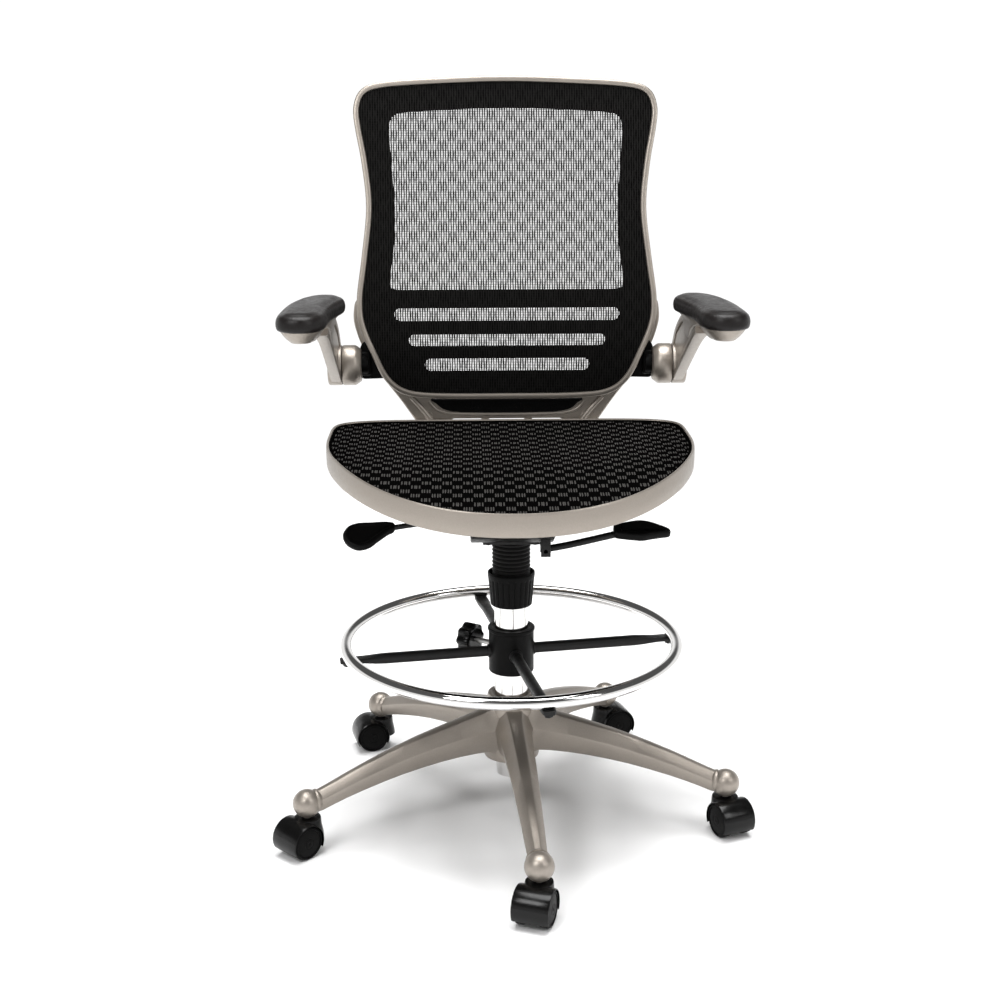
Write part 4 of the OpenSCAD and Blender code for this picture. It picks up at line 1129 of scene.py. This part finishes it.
def back_mesh(outline):
    """The back's knitted sheet: wavy upright threads with fine cross threads."""
    edge = inset(outline, 7.5)
    points, faces = [], []

    def checked(x, z):
        return (math.floor(x / KNIT_CHECK) + math.floor(z / KNIT_CHECK)) % 2

    def ribbon(path, half_w, half_t, across):
        first = len(points)
        for p in path:
            wide = half_w * (1.22 if checked(p[0], p[2]) else 0.94)
            for u, v in ((-1, 0), (0, -1), (1, 0), (0, 1)):
                q = [p[0], p[1] + v * half_t, p[2]]
                q[across] += u * wide
                points.append(q)
        faces.extend(grid_faces(len(path), 4, True, False, first))
        faces.append(tuple(first + j for j in (3, 2, 1, 0)))
        last = len(points) - 4
        faces.append(tuple(last + j for j in range(4)))

    count = int(2 * KNIT_HALF / THREAD_PITCH)
    for i in range(count + 1):
        x = -KNIT_HALF + 2 * KNIT_HALF * i / count
        found = crossings(edge, 0, x)
        phase = (i % 2) * math.pi
        for low, high in zip(found[0::2], found[1::2]):
            if high - low < 6:
                continue
            n = max(2, int((high - low) / 2.5))
            path = []
            for j in range(n + 1):
                z = lerp(low, high, j / n)
                path.append((x + THREAD_WAVE * math.sin(2 * math.pi * z / WAVE_LENGTH + phase),
                             lean(z) + KNIT_Y, z))
            ribbon(path, 0.92, 0.5, 0)
    z = WEFT_FROM
    row = 0
    while z < WEFT_TO:
        found = crossings(edge, 1, z)
        for low, high in zip(found[0::2], found[1::2]):
            if high - low < 6:
                continue
            n = max(2, int((high - low) / THREAD_PITCH))
            path = []
            for j in range(n + 1):
                x = lerp(low, high, j / n)
                path.append((x, lean(z) + KNIT_Y + WEFT_WAVE * (1 if (j + row) % 2 else -1), z))
            ribbon(path, 0.36, 0.2, 2)
        z += WEFT_PITCH
        row += 1
    mesh = make("back_knit", points, faces, BACK_YARN, 80)
    finish_piece(mesh, "seat", "back_fabric", "back_mesh")
    return mesh


YOKE_HALF = [(58, 501), (112, 530), (139, 572), (164, 609), (196, 650), (226, 700), (236, 735), (232, 765),
             (212, 768), (206, 735), (188, 695), (158, 655), (128, 632)]
BOSSES = ((200, 735), (165, 655))


def soften(ring, radius, steps=5):
    """Rounds every corner of a ring."""
    out = []
    n = len(ring)
    for i in range(n):
        p, a, b = Vector(ring[i]), Vector(ring[i - 1]), Vector(ring[(i + 1) % n])
        r = min(radius, (a - p).length * 0.45, (b - p).length * 0.45)
        s, e = p + (a - p).normalized() * r, p + (b - p).normalized() * r
        for j in range(steps + 1):
            t = j / steps
            q = s.lerp(p, t).lerp(p.lerp(e, t), t)
            out.append((q.x, q.y))
    return out


def back_support():
    ring = soften(YOKE_HALF + [(-x, z) for x, z in reversed(YOKE_HALF)], 14)
    yoke = flat_slab("back_yoke", [ring, stadium(92, 562, 580, 12)], 14, 3.2, SILVER, 4)
    move(yoke, spot(0, 229, 0) @ UPRIGHT)
    # The yoke is thicker along its middle than at its edges
    bar = loft("bar", [[(s * (45 - e), y, z) for s, e, z in ((-1, 3, 501), (1, 3, 501), (1, 0, 504),
                                                             (1, 0, 508),
                                                              (1, 3, 511), (-1, 3, 511), (-1, 0, 508),
                                                             (-1, 0, 504))]
                       for y in (96, 100, 160, 222, 236)], SILVER)
    bevel(bar, 0.8, 2)
    gusset = prism("gusset", [(180, 509), (223, 509), (223, 552), (214, 540), (200, 522)], -6, 6, (1, 2, 0),
                   SILVER)
    bevel(gusset, 2, 3)
    bead = sweep("bead", spline([(-122, 222.4, 606), (-111, 221.6, 593), (-90, 221.4, 586.6),
                                 (-50, 221.4, 584.8), (0, 221.4, 584.4), (50, 221.4, 584.8),
                                 (90, 221.4, 586.6), (111, 221.6, 593), (122, 222.4, 606)], 6, False), 2.6,
                 SILVER, 14)
    parts = [yoke, bar, gusset, bead]
    for side in (-1, 1):
        rib = sweep("rib", spline([(side * 104, 221.6, 559), (side * 118, 221.2, 574),
                                   (side * 132, 221.2, 592), (side * 150, 221.6, 612)], 6, False), 4.2,
                    SILVER, 16)
        parts.append(rib)
        cap = revolve("cap", [(0, 0), (5.4, 0), (6.2, 0.8), (6.4, 3), (0, 3)], SILVER, 32)
        parts.append(move(cap, spot(side * 123, 219.4, 582) @ TO_Y))
    for x in (-34, 34):
        knuckle = revolve("knuckle", [(0, 0), (6, 0), (7, 1), (7, 16), (0, 16)], SILVER, 32)
        parts.append(move(knuckle, spot(x, 220, 572) @ TO_Y))
    for s in (-1, 1):
        for x, z in BOSSES:
            y0 = lean(z) + 8
            boss = revolve("boss", [(0, 0), (7, 0), (8, 1), (8.2, 223 - y0), (0, 223 - y0)], SILVER, 32)
            parts.append(move(boss, spot(s * x, y0, z) @ TO_Y))
    finish_piece(joined("back_yoke", parts), "seat", "silver_shell", "back_support")


def support_insert():
    """Dark moulding let into the crossbar."""
    insert_ring = spline([(0, 588.4), (50, 588.8), (84, 590.4), (100, 594.6), (110, 602.6), (114, 610),
                          (50, 612), (0, 612), (-50, 612), (-114, 610), (-110, 602.6), (-100, 594.6),
                          (-84, 590.4), (-50, 588.8)], 6)
    insert = flat_slab("back_yoke_insert", [insert_ring], 4.4, 1.4, GLOSS, 3)
    move(insert, spot(0, 221.8, 0) @ UPRIGHT)
    finish_piece(insert, "seat", "black_gloss", "support_insert")


def back_screws():
    parts = []
    for s in (-1, 1):
        for x, z in BOSSES:
            head = revolve("head", [(0, 0), (5, 0), (5, 2), (4.2, 3), (2.4, 3), (2.2, 1.6), (0, 1.6)], ZINC,
                           32)
            parts.append(move(head, spot(s * x, 236, z) @ TO_Y))
    finish_piece(joined("back_screw_set", parts), "seat", "plain_steel", "back_screws")


# ---------- arms ----------

def arm_side():
    """Everything of the right arm, at X above 0."""
    ring = soften([(190, 646), (226, 645), (226, 692), (220, 700)], 5)
    bracket = flat_slab("arm_bracket_right", [ring], 18, 3, NYLON, 3)
    move(bracket, spot(0, 227, 0) @ UPRIGHT)
    stub = move(revolve("stub", [(0, 216), (17, 216), (17.6, 217), (17.6, 227.4), (0, 227.4)], NYLON, 48),
                TO_X)
    move(stub, spot(0, HINGE_Y + 12, HINGE_Z))
    link = prism("link", [(HINGE_Y + 2, 650), (228, 648), (234, 655), (234, 684), (228, 690),
                          (HINGE_Y + 2, 686)],
                 212, 229, (1, 2, 0), NYLON)
    bevel(link, 3, 3)
    bracket = joined("arm_bracket_right", [bracket, stub, link])

    hub = [(0, 226), (23.6, 226), (25, 226.5), (29.8, 233), (31, 235.4), (31, 253.4), (30.2, 254.7),
           (28.6, 255), (0, 255)]
    hub = move(revolve("arm_hub_right", hub, SILVER, 72), TO_X)
    move(hub, spot(0, HINGE_Y, HINGE_Z))
    return bracket, hub


def arm_moving():
    barrel = [(0, 255.6), (28.4, 255.6), (30.4, 256), (31, 257.2), (31, 274), (30.4, 276), (28.6, 277),
              (24.6, 277), (24, 276.3), (23.4, 276), (22.8, 276.6), (8, 277), (0, 277)]
    barrel = move(revolve("barrel", barrel, SILVER, 72), TO_X)
    move(barrel, spot(0, HINGE_Y, HINGE_Z))

    # Front strut: flat bar from the barrel's lower front up to the bowl
    strut = [(200, 645, 15, 8, 264.5), (176, 655, 13, 8.2, 264.5), (150, 667, 11.5, 8.2, 264.3),
             (110, 686, 11, 8.2, 264), (60, 710, 11, 8.3, 263.6), (10, 734, 12, 8.6, 263.4),
             (-20, 748, 13, 9.6, 264), (-40, 756, 12, 11, 266)]
    strut = loft("strut", spline_rings(bar_rings(strut), 4), SILVER, smooth_angle=50)

    # Rear post: from the top of the barrel to the heel of the bowl
    post = [(216, 678, 22, 7.6, 264.5), (206, 698, 15, 7.0, 264.5), (184, 720, 11, 6.8, 264.5),
            (150, 738, 10, 7.0, 264.5), (112, 751, 11, 8, 265), (80, 757, 12, 9.4, 266)]
    post = loft("post", spline_rings(bar_rings(post), 4), SILVER, smooth_angle=50)

    # Recessed web set in between the two, in black nylon: painted shade in the hollow between the bars
    painted_shade_web = prism("painted_shade_web", [(190, 652), (212, 686), (186, 714), (120, 742), (70, 756), (-30, 756), (-36, 750),
                        (60, 706), (150, 666)], 259.5, 268.5, (1, 2, 0), NYLON)
    bevel(painted_shade_web, 1, 2)

    # Saddle between the bars and the pad, and the bowl under its nose
    saddle = []
    for z, nose, rn, heel, rh in [(732, (263, 40), 6.8, (264.5, 96), 6.2),
                                  (742, (263, 22), 8, (264.5, 92), 7.4), (751, (264, 0), 10.5, (265, 84), 10),
                                  (758, (267, -22), 14, (266, 74), 13.4),
                                  (764, (272, -46), 19, (266, 68), 18.4),
                                  (768, (276, -62), 21, (266, 66), 22)]:
        saddle.append([(x, y, z) for x, y in even(outline_two_circles(nose, rn, heel, rh, 0.1), 72)])
    saddle = loft("saddle", spline_rings(saddle, 3), SILVER, smooth_angle=60)
    bowl = []
    for z, r, y1 in [(751, 11.5, -92), (751.3, 13.2, -91), (752.6, 15.2, -88), (757, 20.2, -80),
                     (762, 24.4, -70), (766, 27.2, -62), (767.2, 27.9, -60), (768, 27.2, -60)]:
        bowl.append([(x, y, z) for x, y in even(outline_two_circles((285, -108), r, (279, y1), 0.86 * r, 0),
                                                72)])
    bowl = loft("bowl", bowl, SILVER, smooth_angle=50)
    return joined("arm_right", [barrel, strut, post, painted_shade_web, saddle, bowl])


def bar_rings(stations):
    """Rounded cross-sections along a bar: each station is (y, z, thickness, half width, x)."""
    rings = []
    for i, (y, z, tall, half_w, xc) in enumerate(stations):
        a = stations[max(i - 1, 0)]
        b = stations[min(i + 1, len(stations) - 1)]
        dy, dz = b[0] - a[0], b[1] - a[1]
        length = math.hypot(dy, dz)
        ny, nz = dz / length, -dy / length
        rings.append([(xc + u * half_w, y + ny * v * tall / 2, z + nz * v * tall / 2)
                      for u, v in ((-1, -0.6), (-0.9, -0.9), (-0.6, -1), (0.6, -1), (0.9, -0.9), (1, -0.6),
                                   (1, 0.6), (0.9, 0.9), (0.6, 1), (-0.6, 1), (-0.9, 0.9), (-1, 0.6))])
    return rings


def spline_rings(rings, steps):
    """Adds smooth in-between rings."""
    count = len(rings[0])
    tracks = [spline([ring[j] for ring in rings], steps, False) for j in range(count)]
    return [[track[i] for track in tracks] for i in range(len(tracks[0]))]


def arm_pad():
    outline = spline([(285, -142), (304, -137), (315.5, -123), (319, -101), (319, -60), (318, -20),
                      (314.5, 20), (308, 52), (297, 77), (282, 91), (265, 94), (250, 90), (240, 78),
                      (238, 62), (240, 40), (245, 8), (250, -28), (251.5, -62), (251.4, -95), (255, -118),
                      (267, -136)], 6)
    outline = even(outline, 120)
    rings = []
    for d, z in [(8, 768.1), (3.4, 768.2), (1.9, 769), (0.7, 771.2), (0.1, 774.4), (0, 778), (0.8, 782.4),
                 (2.6, 785.8), (5.2, 788), (7.6, 789.2), (8.8, 789.5), (10.6, 790.4), (13, 791.4),
                 (16, 792.2), (18.5, 792.6)]:
        rings.append([(x, y, z) for x, y in inset(outline, d)])
    return loft("arm_pad_right", rings, SKIN, smooth_angle=70)


def arms():
    bracket, hub = arm_side()
    pair = joined("arm_bracket_pair", [bracket, mirror(bracket, "arm_bracket_left")])
    finish_piece(pair, "seat", "black_nylon", "arm_brackets")
    pair = joined("arm_hub_pair", [hub, mirror(hub, "arm_hub_left")])
    finish_piece(pair, "seat", "silver_shell", "arm_hubs")
    right = arm_moving()
    left = mirror(right, "arm_left")
    finish_piece(right, "right_armrest", "silver_shell", "right_arm")
    finish_piece(left, "left_armrest", "silver_shell", "left_arm")
    right = arm_pad()
    left = mirror(right, "arm_pad_left")
    finish_piece(right, "right_armrest", "pad_skin", "right_arm_pad")
    finish_piece(left, "left_armrest", "pad_skin", "left_arm_pad")


# ---------- put it together ----------

def paint(node, material):
    """Gives a CAD node that is shown as it is its finish."""
    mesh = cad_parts[node].data
    mesh.materials.clear()
    mesh.materials.append(material)
    for face in mesh.polygons:
        face.material_index = 0


star_base()
for k in range(5):
    caster(k)
dust_cup()
bellows()
foot_ring()
ring_hub()
ring_spokes()
ring_knob()
tilt_housing()
socket_plate()
height_lever()
tilt_lever()
seat_ring, seat_welt = seat()
seat_weave(seat_ring)
seat_under()
back_ring = back_rim()
back_panel(back_ring)
knit = back_mesh(back_ring)
back_support()
support_insert()
back_screws()
arms()

for node, material in (("column_tube", CHROME), ("column_bush", NYLON), ("thrust_bearing", ZINC),
                       ("clamp_screw", ZINC), ("piston_rod", ZINC), ("piston", NYLON), ("rod_clip", ZINC),
                       ("lift_cylinder", ZINC), ("tilt_axle", ZINC), ("torsion_bushes", RUBBER),
                       ("lever_pins", ZINC), ("release_pin", ZINC), ("seat_bolts", ZINC)):
    paint(node, material)


# ---------- studio, in metres and watts ----------

LIT_POINT = (0, 0, 0.5)
LIGHTS = (("key", (-2.0, -2.6, 3.2), (1.4, 1.4), 75), ("fill", (2.4, -2.0, 2.6), (1.0, 1.6), 34),
          ("top", (0, 0.2, 5.0), (3.6, 3.6), 420))
WALLS, CEILING = 1.05, 0.10
WALL_TOP, CEILING_FROM = 0.24, 0.36
EYE, LENS_MM = (-0.066, -2.1561, 1.058), 55.2
EYE_PAN, EYE_TILT, EYE_ROLL = -1.32, 75.25, -0.15       # degrees


def area_light(name, place, target, size, power_w):
    light = bpy.data.lights.new(name, "AREA")
    light.shape = "RECTANGLE"
    light.size, light.size_y = size
    light.energy = power_w
    lamp = bpy.data.objects.new(name, light)
    lamp.location = place
    lamp.rotation_euler = (Vector(target) - Vector(place)).to_track_quat("-Z", "Y").to_euler()
    bpy.context.scene.collection.objects.link(lamp)
    return lamp


def studio():
    n = Nodes("studio_floor")
    n.colour(n.mix(n.noise(2.2, 4, 0.5), (0.93, 0.93, 0.93), (0.95, 0.95, 0.95)))
    n.rough(n.ramp(n.noise(30, 3, 0.5), 0.3, 0.7, 0.70, 0.80))
    n.shader.inputs["Specular IOR Level"].default_value = 0.1
    n.bump((n.noise(220, 3, 0.5), 0.0001))
    edge = [(2000 * math.cos(a), 2000 * math.sin(a), 0) for a in angles(96)]
    floor = make("studio_floor", edge, [tuple(range(len(edge)))], n.material)
    # White walls and a dim ceiling: the ceiling gives the polished parts something dark to reflect
    world = bpy.data.worlds.new("studio")
    world.use_nodes = True
    nodes, links = world.node_tree.nodes, world.node_tree.links
    height = nodes.new("ShaderNodeSeparateXYZ")
    links.new(nodes.new("ShaderNodeTexCoord").outputs["Generated"], height.inputs["Vector"])
    dim = nodes.new("ShaderNodeMapRange")
    dim.inputs["From Min"].default_value = WALL_TOP
    dim.inputs["From Max"].default_value = CEILING_FROM
    dim.inputs["To Min"].default_value = WALLS
    dim.inputs["To Max"].default_value = CEILING
    links.new(height.outputs["Z"], dim.inputs["Value"])
    links.new(dim.outputs["Result"], nodes["Background"].inputs["Strength"])
    nodes["Background"].inputs["Color"].default_value = (1, 1, 1, 1)
    bpy.context.scene.world = world
    bpy.context.scene.view_settings.view_transform = "Standard"
    for name, place, size, power_w in LIGHTS:
        area_light(name, place, LIT_POINT, size, power_w)


def camera():
    lens = bpy.data.cameras.new("main_camera")
    lens.lens = LENS_MM
    lens.sensor_width = 36
    eye = bpy.data.objects.new("main_camera", lens)
    eye.location = EYE
    eye.rotation_euler = (Matrix.Rotation(math.radians(EYE_PAN), 3, "Z")
                          @ Matrix.Rotation(math.radians(EYE_TILT), 3, "X")
                          @ Matrix.Rotation(math.radians(EYE_ROLL), 3, "Z")).to_euler()
    bpy.context.scene.collection.objects.link(eye)
    bpy.context.scene.camera = eye


studio()
camera()
